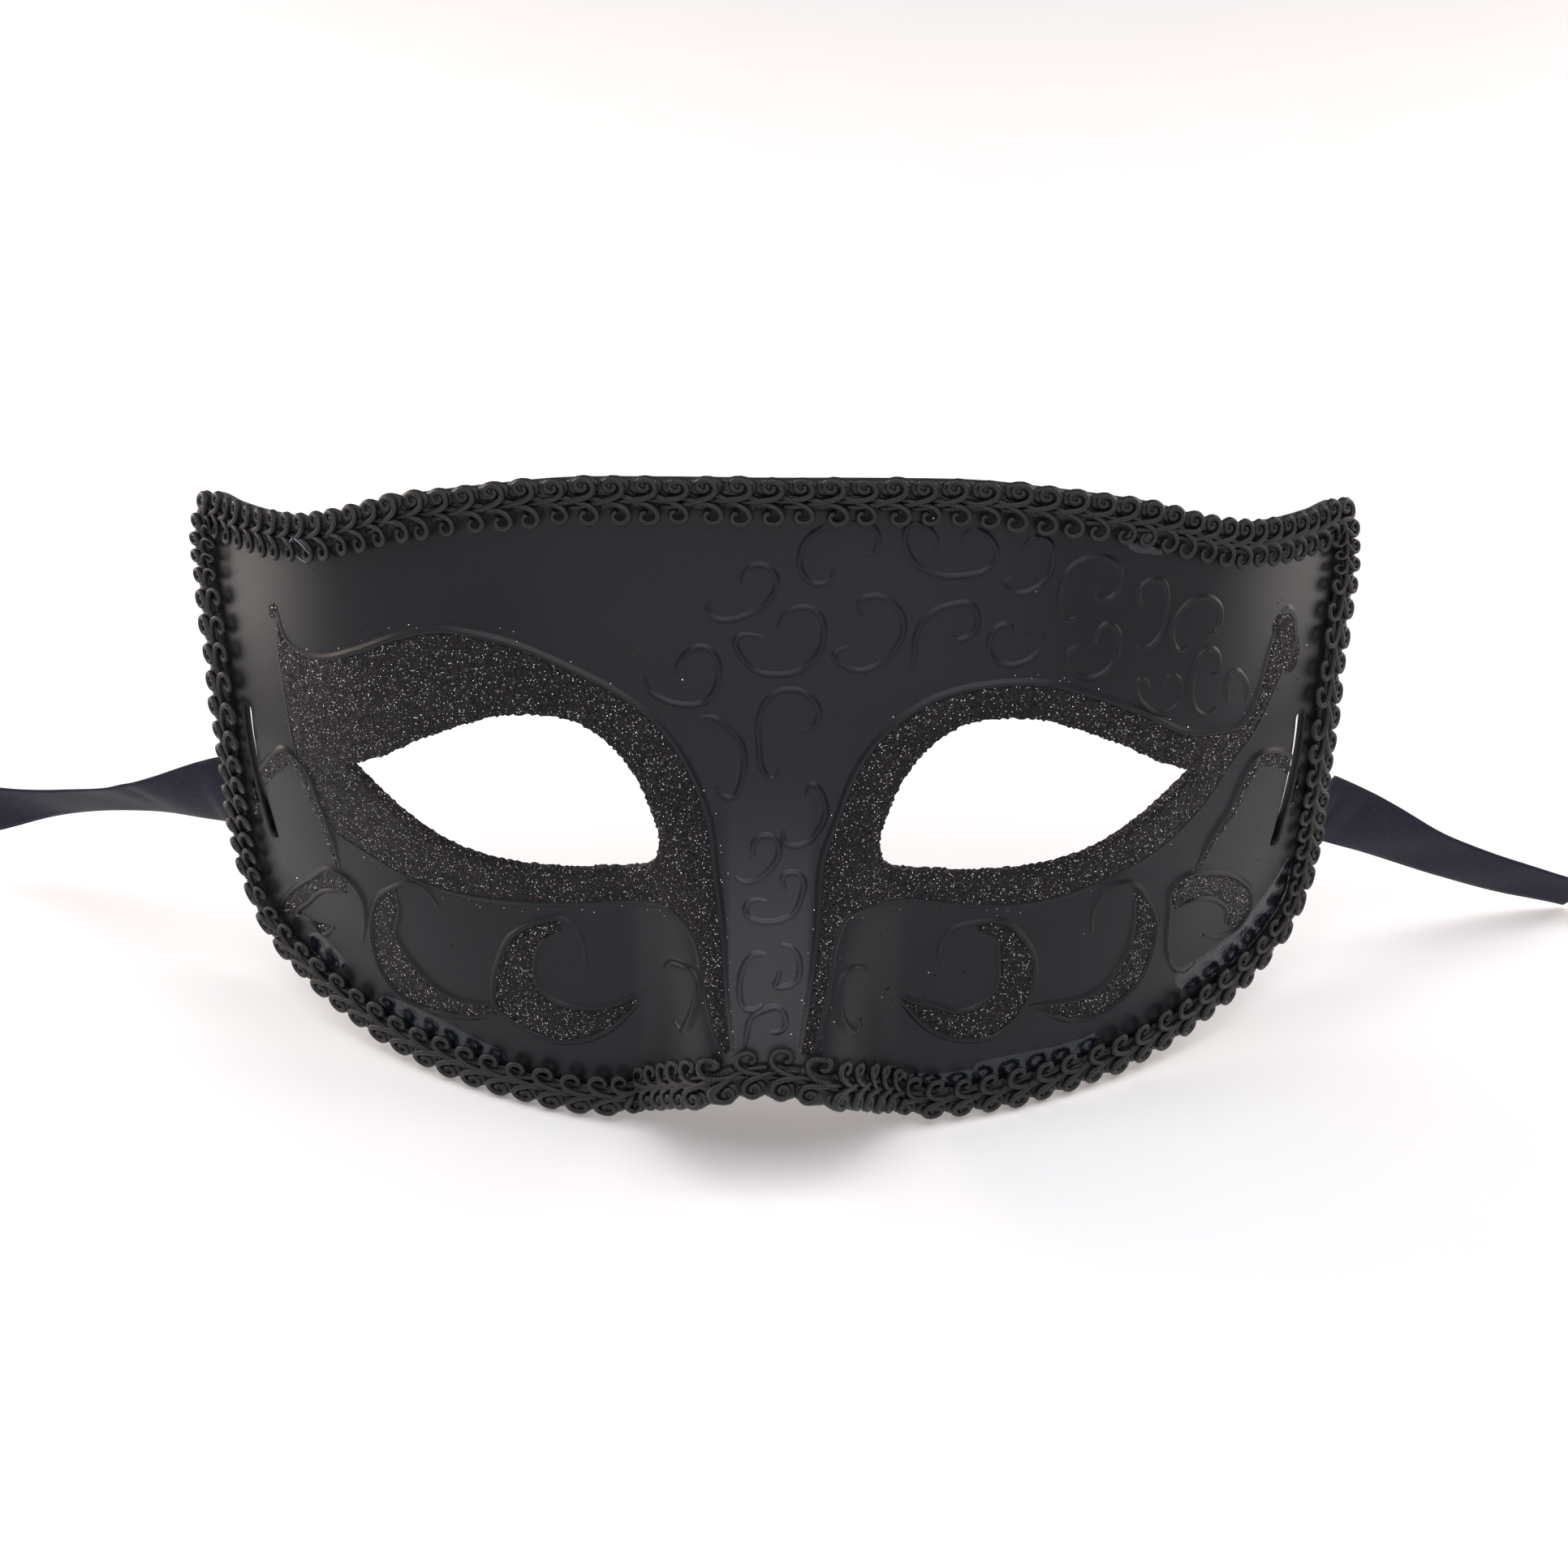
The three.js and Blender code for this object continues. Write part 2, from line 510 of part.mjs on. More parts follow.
function piece(name, geometry, colour, roughness) {
  const flat = geometry.index ? geometry.toNonIndexed() : geometry;
  flat.deleteAttribute('normal');
  const closed = mergeVertices(flat, 1e-5);
  closed.computeVertexNormals();
  const material = new THREE.MeshStandardMaterial({ color: colour, roughness, metalness: 0 });
  const mesh = new THREE.Mesh(closed, material);
  mesh.name = name;
  return mesh;
}

const mask = new THREE.Group();
mask.add(piece('mask_shell', maskShell(), COLOURS.shell, 0.45));
mask.add(piece('edge_braid', edgeBraid(), COLOURS.braid, 0.8));
for (const [name, row] of Object.entries(RIBBONS)) {
  mask.add(piece(`ribbon_${name}`, ribbon(row), COLOURS.ribbon, 0.4));
}

// The mask stands on the floor with its middle over the origin from front to back
const box = new THREE.Box3().setFromObject(mask);
mask.position.set(0, -(box.min.y + box.max.y) / 2, -box.min.z);
mask.updateMatrixWorld(true);

export default mask;
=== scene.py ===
# %% [markdown]
# # A half-face masquerade mask
# The mask is a moulded black plastic shell with glitter round the eyes, raised scrolls, a gimp braid glued
# along its edge and two satin ribbons to tie it on. The imported CAD model is loaded first as a fixed frame.
# Its box is kept.

# %% Load the frame
import math

import bpy
import numpy as np
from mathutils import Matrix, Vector
from mathutils.geometry import delaunay_2d_cdt
from mathutils.kdtree import KDTree


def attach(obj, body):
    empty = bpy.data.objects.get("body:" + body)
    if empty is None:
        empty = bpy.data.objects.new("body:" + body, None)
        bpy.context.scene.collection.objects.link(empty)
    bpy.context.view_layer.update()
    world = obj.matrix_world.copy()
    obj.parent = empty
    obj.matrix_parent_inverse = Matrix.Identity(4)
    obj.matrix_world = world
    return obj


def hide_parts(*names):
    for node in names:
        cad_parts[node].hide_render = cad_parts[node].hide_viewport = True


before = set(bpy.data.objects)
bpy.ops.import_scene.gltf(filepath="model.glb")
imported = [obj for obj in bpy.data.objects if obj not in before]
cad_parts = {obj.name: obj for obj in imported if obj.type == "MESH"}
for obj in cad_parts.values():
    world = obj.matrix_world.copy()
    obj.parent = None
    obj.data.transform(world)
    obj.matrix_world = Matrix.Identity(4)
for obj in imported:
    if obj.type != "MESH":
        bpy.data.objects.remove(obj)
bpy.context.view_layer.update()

# %% [markdown]
# ## The face form
# A face mask curves in every direction, so drawing straight on it is hard. Instead everything is drawn on a
# flat chart: s runs along the face from its middle, z is the height and n stands out from the plastic.
# One function bends the chart into the face. The sizes are those of the CAD model, in millimetres.

# %% Sizes of the face
ARC_HALF, FACE_HEIGHT, WALL = 96.0, 102.5, 1.4
BROW_LEAN, CHEEK_TUCK, HOLLOW_DEPTH = 7.0, 3.0, 3.0
NOSE_REACH, NOSE_HALF, NOSE_FLARE, NOSE_SLOPE = 17.0, 6.5, 3.5, 13.0
SEAT_BACK, SEAT_UP = 30.1849, 0.1997     # where the pack stands the mask in the frame
MM = 0.001

TURN_BROW = [0, 2, 4.5, 7.5, 13, 20.5, 29, 37.5, 45, 50, 52, 53.5, 54]      # degrees per tenth of ARC_HALF
TURN_CHEEK = [0, 7, 13.5, 20, 27, 33, 38.5, 43.5, 47, 49.5, 51, 52.5, 53]


def smooth(t):
    t = np.clip(t, 0, 1)
    return t * t * (3 - 2 * t)


def row_value(row, place):
    """Value of an evenly spaced row at places between its entries, through a cubic."""
    row, last = np.asarray(row, float), len(row) - 1
    p = np.clip(np.asarray(place, float), 0, last)
    i = np.minimum(p.astype(int), last - 1)
    f = p - i
    before, after = row[np.maximum(i - 1, 0)], row[np.minimum(i + 2, last)]
    slope_in = np.where(i == 0, row[1] - row[0], (row[i + 1] - before) / 2)
    slope_out = (after - row[i]) / 2
    return (row[i] * (2 * f**3 - 3 * f**2 + 1) + slope_in * (f**3 - 2 * f**2 + f)
            + row[i + 1] * (3 * f**2 - 2 * f**3) + slope_out * (f**3 - f**2))


# %% Horizontal sections
SECTION_STEP = 0.5
SECTION_ARC = np.arange(0, 1.4 * ARC_HALF, SECTION_STEP)


def section(turns):
    """x and y along a horizontal section, from its turn angles."""
    angle = np.radians(row_value(turns, (SECTION_ARC[1:] - SECTION_STEP / 2) / (ARC_HALF / 10)))
    steps = np.stack([np.cos(angle), np.sin(angle)]) * SECTION_STEP
    return np.concatenate([np.zeros((2, 1)), np.cumsum(steps, axis=1)], axis=1)


BROW_SECTION, CHEEK_SECTION = section(TURN_BROW), section(TURN_CHEEK)


def front_face(s, z):
    """Points of the shell's front face, in millimetres."""
    a, h = np.abs(s), z / FACE_HEIGHT
    w = smooth((h - 0.09) / (0.556 - 0.09))
    x, y = (np.interp(a, SECTION_ARC, BROW_SECTION[k]) * w
            + np.interp(a, SECTION_ARC, CHEEK_SECTION[k]) * (1 - w) for k in (0, 1))
    y = y + BROW_LEAN * smooth((h - 0.517) / 0.488)
    y = y + CHEEK_TUCK * np.maximum(0, 1 - h / 0.175) ** 2
    rise = smooth((0.654 - h) / (0.654 - 0.049))
    half = NOSE_HALF + NOSE_FLARE * smooth((h - 0.146) / 0.44)
    y = y - NOSE_REACH * rise * (1 - smooth((a - half) / NOSE_SLOPE))
    across, up = (a / ARC_HALF - 0.417) / 0.27, (h - 0.39) / 0.166
    y = y + HOLLOW_DEPTH * np.exp(-across**2 - up**2)
    return np.stack([x * np.sign(s), y, z + 0 * s], axis=-1)


def face_form(chart):
    """Bend chart points (s, z, n) into the face; the result is in metres, in the frame."""
    s, z, n = np.asarray(chart, float).T
    d = 0.25
    along, up = (front_face(s + a, z + b) - front_face(s - a, z - b) for a, b in ((d, 0), (0, d)))
    normal = np.cross(along, up)
    normal /= np.linalg.norm(normal, axis=1, keepdims=True)
    place = front_face(s, z) + normal * n[:, None]
    return (place - [0, SEAT_BACK, -SEAT_UP]) * MM


print("nose tip", face_form([[0, 20, 0]]))

# %% [markdown]
# ## Curves on the chart
# Outlines and raised lines are smooth curves through a few listed points. The same kind of curve is
# used as in the CAD model, a centripetal Catmull-Rom curve, so both outlines agree. It is sampled at even
# steps, which keeps the facets along it even too.

# %% Smooth curves
def curve_through(points, closed=False, step=0.5):
    p = np.asarray(points, float)
    ends = [p[-1:], p, p[:2]] if closed else [2 * p[:1] - p[1:2], p, 2 * p[-1:] - p[-2:-1]]
    q = np.vstack(ends)
    t = np.linspace(0, 1, 24, endpoint=False)[:, None]
    parts = []
    for a, b, c, d in zip(q[:-3], q[1:-2], q[2:-1], q[3:]):
        g0, g1, g2 = (max(math.dist(u, v), 1e-9) ** 0.5 for u, v in ((a, b), (b, c), (c, d)))
        m1 = ((b - a) / g0 - (c - a) / (g0 + g1) + (c - b) / g1) * g1
        m2 = ((c - b) / g1 - (d - b) / (g1 + g2) + (d - c) / g2) * g1
        parts.append(b * (2 * t**3 - 3 * t**2 + 1) + m1 * (t**3 - 2 * t**2 + t)
                     + c * (3 * t**2 - 2 * t**3) + m2 * (t**3 - t**2))
    line = np.vstack(parts + [p[:1] if closed else p[-1:]])
    run = np.concatenate([[0], np.cumsum(np.linalg.norm(np.diff(line, axis=0), axis=1))])
    even = np.linspace(0, run[-1], max(2, round(run[-1] / step)) + 1)
    line = np.stack([np.interp(even, run, line[:, k]) for k in range(p.shape[1])], axis=1)
    return line[:-1] if closed else line


def aside(line, closed=False):
    """Unit vectors square to a chart line, on its left."""
    ahead = np.roll(line, -1, 0) - np.roll(line, 1, 0) if closed else np.gradient(line, axis=0)
    ahead = ahead / np.linalg.norm(ahead, axis=1, keepdims=True)
    return np.stack([-ahead[:, 1], ahead[:, 0]], axis=1)


# %% The rim: middle line of the braid, right half from top middle to bottom middle
RIM = [
    (0, 0.961), (0.16, 0.96), (0.3, 0.953), (0.4, 0.937), (0.48, 0.92), (0.56, 0.898), (0.635, 0.868),
    (0.72, 0.838), (0.81, 0.822), (0.89, 0.813), (0.952, 0.806), (0.971, 0.755),
    (0.957, 0.67), (0.94, 0.59), (0.934, 0.51), (0.94, 0.43), (0.955, 0.35), (0.972, 0.275), (0.974, 0.205),
    (0.955, 0.155), (0.9, 0.113), (0.81, 0.083), (0.7, 0.06), (0.6, 0.047), (0.48, 0.041), (0.36, 0.041),
    (0.27, 0.045), (0.207, 0.06), (0.162, 0.095), (0.125, 0.138), (0.083, 0.172), (0.042, 0.186), (0, 0.189),
]
RIM_STEP = 0.25
rim_half = np.array(RIM) * [ARC_HALF, FACE_HEIGHT]
rim = curve_through(np.vstack([rim_half, rim_half[-2:0:-1] * [-1, 1]]), closed=True, step=RIM_STEP)
rim_aside = aside(rim, closed=True)
rim_length = len(rim) * math.dist(rim[0], rim[1])
print(f"rim {rim_length:.0f} mm")


def rim_outline(reach, every=4):
    """The rim moved outwards by reach, or inwards where it is negative."""
    return (rim + reach * rim_aside)[::every]


# %% [markdown]
# ## From outline to mesh
# A thin shell with holes is a sheet of small even triangles that follows its outlines exactly. A triangular
# lattice fills the outline, and a constrained Delaunay triangulation joins it to the edges. This gives
# cleaner shading than cutting holes with a Boolean.

# %% Fill an outline with triangles
def inside(points, loop):
    """Which points lie inside a closed chart loop."""
    x0, y0 = loop.T
    x1, y1 = np.roll(loop, -1, 0).T
    found = []
    for part in np.array_split(points, len(points) // 4000 + 1):
        x, y = part[:, :1], part[:, 1:2]
        crosses = (y0 > y) != (y1 > y)
        at = x0 + (y - y0) * (x1 - x0) / np.where(y1 == y0, 1, y1 - y0)
        found.append((crosses & (x < at)).sum(1) % 2 == 1)
    return np.concatenate(found)


def fill_sheet(outline, holes, spacing):
    """Chart points and triangles inside the outline and outside the holes; the loops' points come first."""
    loops = [outline, *holes]
    low, high = outline.min(0), outline.max(0)
    rows = np.arange(low[1], high[1], spacing * 0.866)
    lattice = np.vstack([
        np.stack([np.arange(low[0] + (k % 2) * spacing / 2, high[0], spacing),
                  np.full(len(np.arange(low[0] + (k % 2) * spacing / 2, high[0], spacing)), z)], axis=1)
        for k, z in enumerate(rows)])
    lattice = lattice[inside(lattice, outline)]
    edge_points = np.vstack(loops)
    near = KDTree(len(edge_points))
    for i, (s, z) in enumerate(edge_points):
        near.insert((s, z, 0), i)
    near.balance()
    lattice = np.array([p for p in lattice if near.find((p[0], p[1], 0))[2] > 0.55 * spacing])
    points = np.vstack([edge_points, lattice]) if len(lattice) else edge_points
    edges, start = [], 0
    for loop in loops:
        edges += [(start + i, start + (i + 1) % len(loop)) for i in range(len(loop))]
        start += len(loop)
    flat, _, faces, *_ = delaunay_2d_cdt([Vector(p) for p in points], edges, [], 0, 1e-7)
    flat, faces = np.array([tuple(p) for p in flat]), np.array([f for f in faces if len(f) == 3])
    a, b, c = (flat[faces[:, k]] for k in range(3))
    turned = (b[:, 0] - a[:, 0]) * (c[:, 1] - a[:, 1]) - (b[:, 1] - a[:, 1]) * (c[:, 0] - a[:, 0])
    faces[turned < 0] = faces[turned < 0][:, ::-1]
    middle = (a + b + c) / 3
    keep = inside(middle, outline) & (np.abs(turned) > 1e-9)
    for hole in holes:
        keep &= ~inside(middle, hole)
    return flat, faces[keep]


# %% Make a piece from points and faces
def make_piece(name, points, faces, material, smooth_faces=True, uv=None):
    mesh = bpy.data.meshes.new(name)
    mesh.from_pydata(np.asarray(points).tolist(), [], [list(map(int, f)) for f in faces])
    mesh.polygons.foreach_set("use_smooth", [smooth_faces] * len(mesh.polygons))
    if uv is not None:
        layer = mesh.uv_layers.new(name="UVMap")
        corner = np.empty(len(mesh.loops), dtype=np.int32)
        mesh.loops.foreach_get("vertex_index", corner)
        layer.data.foreach_set("uv", np.asarray(uv)[corner].ravel())
    mesh.materials.append(material)
    mesh.update()
    piece = bpy.data.objects.new(name, mesh)
    bpy.context.scene.collection.objects.link(piece)
    print(f"{name}: {sum(len(f) - 2 for f in faces)} triangles")
    return piece


def grid_faces(rows, columns, wrap=False):
    """Quads of a grid; with wrap its last column joins its first."""
    faces = []
    for i in range(rows - 1):
        for k in range(columns if wrap else columns - 1):
            k1 = (k + 1) % columns
            faces.append((i * columns + k, (i + 1) * columns + k, (i + 1) * columns + k1, i * columns + k1))
    return faces


# %% [markdown]
# ## Materials
# Every finish is built from nodes. One small function adds a node with its settings and links, and another
# turns the sRGB colours that an eye or a screen gives into the linear values that the renderer needs.

# %% Node and colour helpers
def add(tree, kind, settings=None, inputs=None):
    """Add a node; settings are its own properties, inputs are values or the sockets linked to it."""
    node = tree.nodes.new(kind)
    for name, value in (settings or {}).items():
        setattr(node, name, value)
    for name, value in (inputs or {}).items():
        if isinstance(value, bpy.types.NodeSocket):
            tree.links.new(value, node.inputs[name])
        else:
            node.inputs[name].default_value = value
    return node


def colour(code):
    """sRGB hex to linear RGBA."""
    parts = [int(code[i:i + 2], 16) / 255 for i in (1, 3, 5)]
    return (*[c / 12.92 if c <= 0.04045 else ((c + 0.055) / 1.055) ** 2.4 for c in parts], 1)


def new_material(name):
    material = bpy.data.materials.new(name)
    material.use_nodes = True
    tree = material.node_tree
    return material, tree, tree.nodes["Principled BSDF"]


def ramp(tree, stops, factor, interpolation="LINEAR"):
    """A colour ramp node with the given (position, colour) stops."""
    node = add(tree, "ShaderNodeValToRGB", inputs={"Fac": factor})
    node.color_ramp.interpolation = interpolation
    while len(node.color_ramp.elements) < len(stops):
        node.color_ramp.elements.new(0.5)
    for element, (position, shade) in zip(node.color_ramp.elements, stops):
        element.position, element.color = position, shade
    return node.outputs["Color"]


def grey(v):
    return (v, v, v, 1)


# %% [markdown]
# ### The shell's plastic
# The shell is vacuum-formed PVC sheet, dyed black and sprayed with a satin coat. The eye sees a nearly black
# face with a soft, wide shine, slightly uneven because the spray is thicker in places. The fine orange peel
# of the spray is about half a millimetre across. The coat lies thicker on the flat of the nose
# and on the temples, which shine more. The flat of the nose is also given a lighter grey colour: a painted
# highlight for the light that its upturned face catches.

# %% Satin black PVC
def satin_plastic():
    material, tree, shader = new_material("satin_black_pvc")
    place = add(tree, "ShaderNodeTexCoord").outputs["Object"]
    spray = add(tree, "ShaderNodeTexNoise", inputs={"Vector": place, "Scale": 60, "Detail": 4})
    peel = add(tree, "ShaderNodeTexNoise", inputs={"Vector": place, "Scale": 1 / (0.5 * MM), "Detail": 2})
    base = ramp(tree, [(0.3, colour("#101115")), (0.7, colour("#15161b"))], spray.outputs["Fac"])
    rough = ramp(tree, [(0.3, grey(0.36)), (0.7, grey(0.46))], spray.outputs["Fac"])
    bump = add(tree, "ShaderNodeBump", inputs={
        "Strength": 0.25, "Distance": 0.02 * MM, "Height": peel.outputs["Fac"]})
    where = add(tree, "ShaderNodeSeparateXYZ", inputs={"Vector": place})
    aside_by = add(tree, "ShaderNodeMath", {"operation": "ABSOLUTE"}, {0: where.outputs["X"]}).outputs[0]
    on_nose = add(tree, "ShaderNodeMapRange", {"interpolation_type": "SMOOTHSTEP"}, {
        "Value": aside_by, "From Min": 5 * MM, "From Max": 6.6 * MM, "To Min": 1, "To Max": 0}).outputs[0]
    low_down = add(tree, "ShaderNodeMapRange", {"interpolation_type": "SMOOTHSTEP"}, {
        "Value": where.outputs["Z"], "From Min": 32 * MM, "From Max": 62 * MM,
        "To Min": 1, "To Max": 0}).outputs[0]
    nose_coat_and_painted_highlight = add(tree, "ShaderNodeMath", {"operation": "MULTIPLY"}, {0: on_nose, 1: low_down}).outputs[0]
    temple = add(tree, "ShaderNodeMapRange", {"interpolation_type": "SMOOTHSTEP"}, {
        "Value": aside_by, "From Min": 60 * MM, "From Max": 80 * MM}).outputs[0]
    high_up = add(tree, "ShaderNodeMapRange", {"interpolation_type": "SMOOTHSTEP"}, {
        "Value": where.outputs["Z"], "From Min": 54 * MM, "From Max": 76 * MM, "To Min": 0.25, "To Max": 1.0})
    coat = add(tree, "ShaderNodeMix", {"data_type": "FLOAT"}, {
        "Factor": temple, "A": 0.25, "B": high_up.outputs[0]}).outputs["Result"]
    shine = add(tree, "ShaderNodeMath", {"operation": "MULTIPLY_ADD"}, {
        0: nose_coat_and_painted_highlight, 1: 0.22, 2: coat}).outputs[0]
    # Painted highlight: the flat of the nose gets a lighter grey base colour, for the light it catches.
    shade = add(tree, "ShaderNodeMix", {"data_type": "RGBA"}, {
        "Factor": nose_coat_and_painted_highlight, "A": base, "B": colour("#1d1e22")}).outputs["Result"]
    tree.links.new(shade, shader.inputs["Base Color"])
    tree.links.new(shine, shader.inputs["Specular IOR Level"])
    tree.links.new(rough, shader.inputs["Roughness"])
    tree.links.new(bump.outputs["Normal"], shader.inputs["Normal"])
    shader.inputs["IOR"].default_value = 1.5
    return material


PLASTIC = satin_plastic()

# %% [markdown]
# ## The shell
# The real shell is one sheet with a nose ridge, two eye openings and a slit near each side for the ribbon.
# Front and back are two bent copies of the same sheet, and short rounded walls join them along every edge,
# as on plastic that was formed hot and then trimmed.

# %% Outlines of the openings
EYE_LENGTH, EYE_HEIGHT, EYE_INNER, EYE_BOTTOM = 47.3, 25.9, 15.5, 40.6
EYE = [
    (1, 0.5), (0.86, 0.63), (0.74, 0.765), (0.61, 0.885), (0.48, 0.975), (0.35, 1), (0.25, 0.975),
    (0.16, 0.88), (0.085, 0.72), (0.03, 0.52), (0, 0.3), (0.03, 0.17), (0.1, 0.09), (0.2, 0.05),
    (0.32, 0.015), (0.5, 0), (0.62, 0.03), (0.72, 0.1), (0.82, 0.22), (0.92, 0.37), (1, 0.5),
]
SLIT_LENGTH, SLIT_WIDTH, SLIT_MIDDLE, SLIT_INSET = 25.0, 2.0, 44.0, 1.6
BRAID_WIDTH, OVERHANG, CLEARANCE = 8.0, 1.5, 0.3
SIDE_RIM = 0.94 * ARC_HALF
SLIT_PLACE = SIDE_RIM - BRAID_WIDTH / 2 - SLIT_INSET


def eye_outline(side, step=0.8):
    points = np.array(EYE) * [EYE_LENGTH, EYE_HEIGHT] + [EYE_INNER, EYE_BOTTOM]
    return curve_through(points * [side, 1], step=step)[:-1]


def slit_outline(side):
    half = (SLIT_LENGTH - SLIT_WIDTH) / 2
    angle = np.radians(np.arange(0, 181, 30))
    cap = np.stack([np.cos(angle), np.sin(angle)], axis=1) * SLIT_WIDTH / 2
    walk = np.linspace(half, -half, 17)[1:-1, None] * [0, 1]
    left, right = walk + [-SLIT_WIDTH / 2, 0], walk[::-1] + [SLIT_WIDTH / 2, 0]
    return np.vstack([cap + [0, half], left, -cap - [0, half], right]) + [side * SLIT_PLACE, SLIT_MIDDLE]


def offset_loop(loop, distance):
    """A closed loop grown by distance, whichever way round it runs."""
    x, y = loop.T
    area = (x * np.roll(y, -1) - np.roll(x, -1) * y).sum()
    return loop - math.copysign(1, area) * distance * aside(loop, closed=True)


# %% Build the shell
EDGE_ROUND = 0.3
EDGE_PROFILE = [(0.09, -0.09), (0, -0.3), (0, -1.1), (0.09, -1.31)]   # inset from the edge, n

shell_loops = [rim_outline(BRAID_WIDTH / 2 - OVERHANG)]
shell_loops += [outline(side) for outline in (eye_outline, slit_outline) for side in (-1, 1)]
inset_sign = [-1, 1, 1, 1, 1]
inset_loops = [offset_loop(loop, sign * EDGE_ROUND) for loop, sign in zip(shell_loops, inset_sign)]
sheet, sheet_faces = fill_sheet(inset_loops[0], inset_loops[1:], 1.3)


def shell_mesh():
    count = len(sheet)
    rows = [np.column_stack([sheet, np.zeros(count)]), np.column_stack([sheet, np.full(count, -WALL)])]
    faces = [tuple(f) for f in sheet_faces] + [tuple(f[::-1] + count) for f in sheet_faces]
    start, used = 0, 2 * count
    for loop, sign in zip(shell_loops, inset_sign):
        size = len(loop)
        rings = [np.arange(start, start + size)]
        for inset, n in EDGE_PROFILE:
            rows.append(np.column_stack([offset_loop(loop, sign * inset), np.full(size, n)]))
            rings.append(np.arange(used, used + size))
            used += size
        rings.append(np.arange(start, start + size) + count)
        x, y = loop.T
        runs_left = (x * np.roll(y, -1) - np.roll(x, -1) * y).sum() > 0
        for upper, lower in zip(rings, rings[1:]):
            for k in range(size):
                k1 = (k + 1) % size
                quad = (upper[k], lower[k], lower[k1], upper[k1])
                faces.append(quad if runs_left == (sign < 0) else quad[::-1])
        start += size
    return np.vstack(rows), faces


shell_chart, shell_faces = shell_mesh()
shell = make_piece("moulded_shell", face_form(shell_chart), shell_faces, PLASTIC)
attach(shell, "root")
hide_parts("mask_shell")

# %% [markdown]
# ## Places read off the photograph
# The drawn ornament follows the photograph. Its lines are lists of places given in the photograph's pixels,
# read off enlarged crops. The camera stands where the photograph was taken, so it also tells which
# place of the chart shows at a pixel. A reading is good to about half a millimetre, so places are rounded to
# that. Where a line or a smear runs on under the braid, its last places were set further on.

# %% The photograph's camera
IMAGE = 1932                                # width and height of the photograph, in pixels
LENS, SENSOR = 113.03, 36                   # focal length and sensor width, in millimetres
SHIFT_X, SHIFT_Y = 14, 40                   # of the picture against the lens, in pixels
CAMERA_UP, CAMERA_ROUND, CAMERA_AWAY = math.radians(27), math.radians(1), 0.72
CAMERA_TARGET = np.array([0, -5.185, 40.2]) * MM
CAMERA_BACK = np.array([math.sin(CAMERA_ROUND) * math.cos(CAMERA_UP),
                        -math.cos(CAMERA_ROUND) * math.cos(CAMERA_UP), math.sin(CAMERA_UP)])
CAMERA_PLACE = CAMERA_TARGET + CAMERA_BACK * CAMERA_AWAY
CAMERA_RIGHT = np.array([math.cos(CAMERA_ROUND), math.sin(CAMERA_ROUND), 0])
CAMERA_TOP = np.cross(CAMERA_BACK, CAMERA_RIGHT)


# %% From the chart to the photograph and back
def pixels_of(places):
    """Where chart places (s, z) of the front face show in the photograph, in pixels."""
    ray = face_form(np.column_stack([places, np.zeros(len(places))])) - CAMERA_PLACE
    scale = IMAGE * LENS / SENSOR / -(ray @ CAMERA_BACK)
    return np.column_stack([IMAGE / 2 - SHIFT_X + scale * (ray @ CAMERA_RIGHT),
                            IMAGE / 2 + SHIFT_Y - scale * (ray @ CAMERA_TOP)])


READING = 0.5                               # how finely a place can be read, in millimetres
NUDGE = 0.1
GRID_S, GRID_Z = np.meshgrid(np.arange(-95, 95.1, READING), np.arange(0, 105, READING))
CHART_GRID = np.column_stack([GRID_S.ravel(), GRID_Z.ravel()])
GRID_PIXELS = pixels_of(CHART_GRID)


def on_chart(pixels):
    """Chart places of pixels: the nearest place of the grid, then three Newton steps from it."""
    pixels = np.array(pixels, float)
    places = CHART_GRID[[((GRID_PIXELS - pixel) ** 2).sum(1).argmin() for pixel in pixels]]
    for _ in range(3):
        shown = pixels_of(places)
        slopes = np.stack([pixels_of(places + step) - shown for step in ([NUDGE, 0], [0, NUDGE])], -1) / NUDGE
        places = places + np.clip(np.linalg.solve(slopes, (pixels - shown)[:, :, None])[:, :, 0], -1, 1)
    return np.round(places / READING) * READING


NOSE_FOOT_SEEN = [(955, 1302)]              # the braid's inner edge under the nose
print("foot of the nose at", on_chart(NOSE_FOOT_SEEN))

# %% [markdown]
# ## Raised scrolls and leaf lines
# The mould pressed fine rounded lines into the sheet: curls on the forehead and nose, leaf shapes on the
# cheeks and a lip along the glitter. Each is a narrow strip with a bell-shaped section that meets the
# sheet smoothly, swept along its curve. A bump texture would not show against the light at the edges.

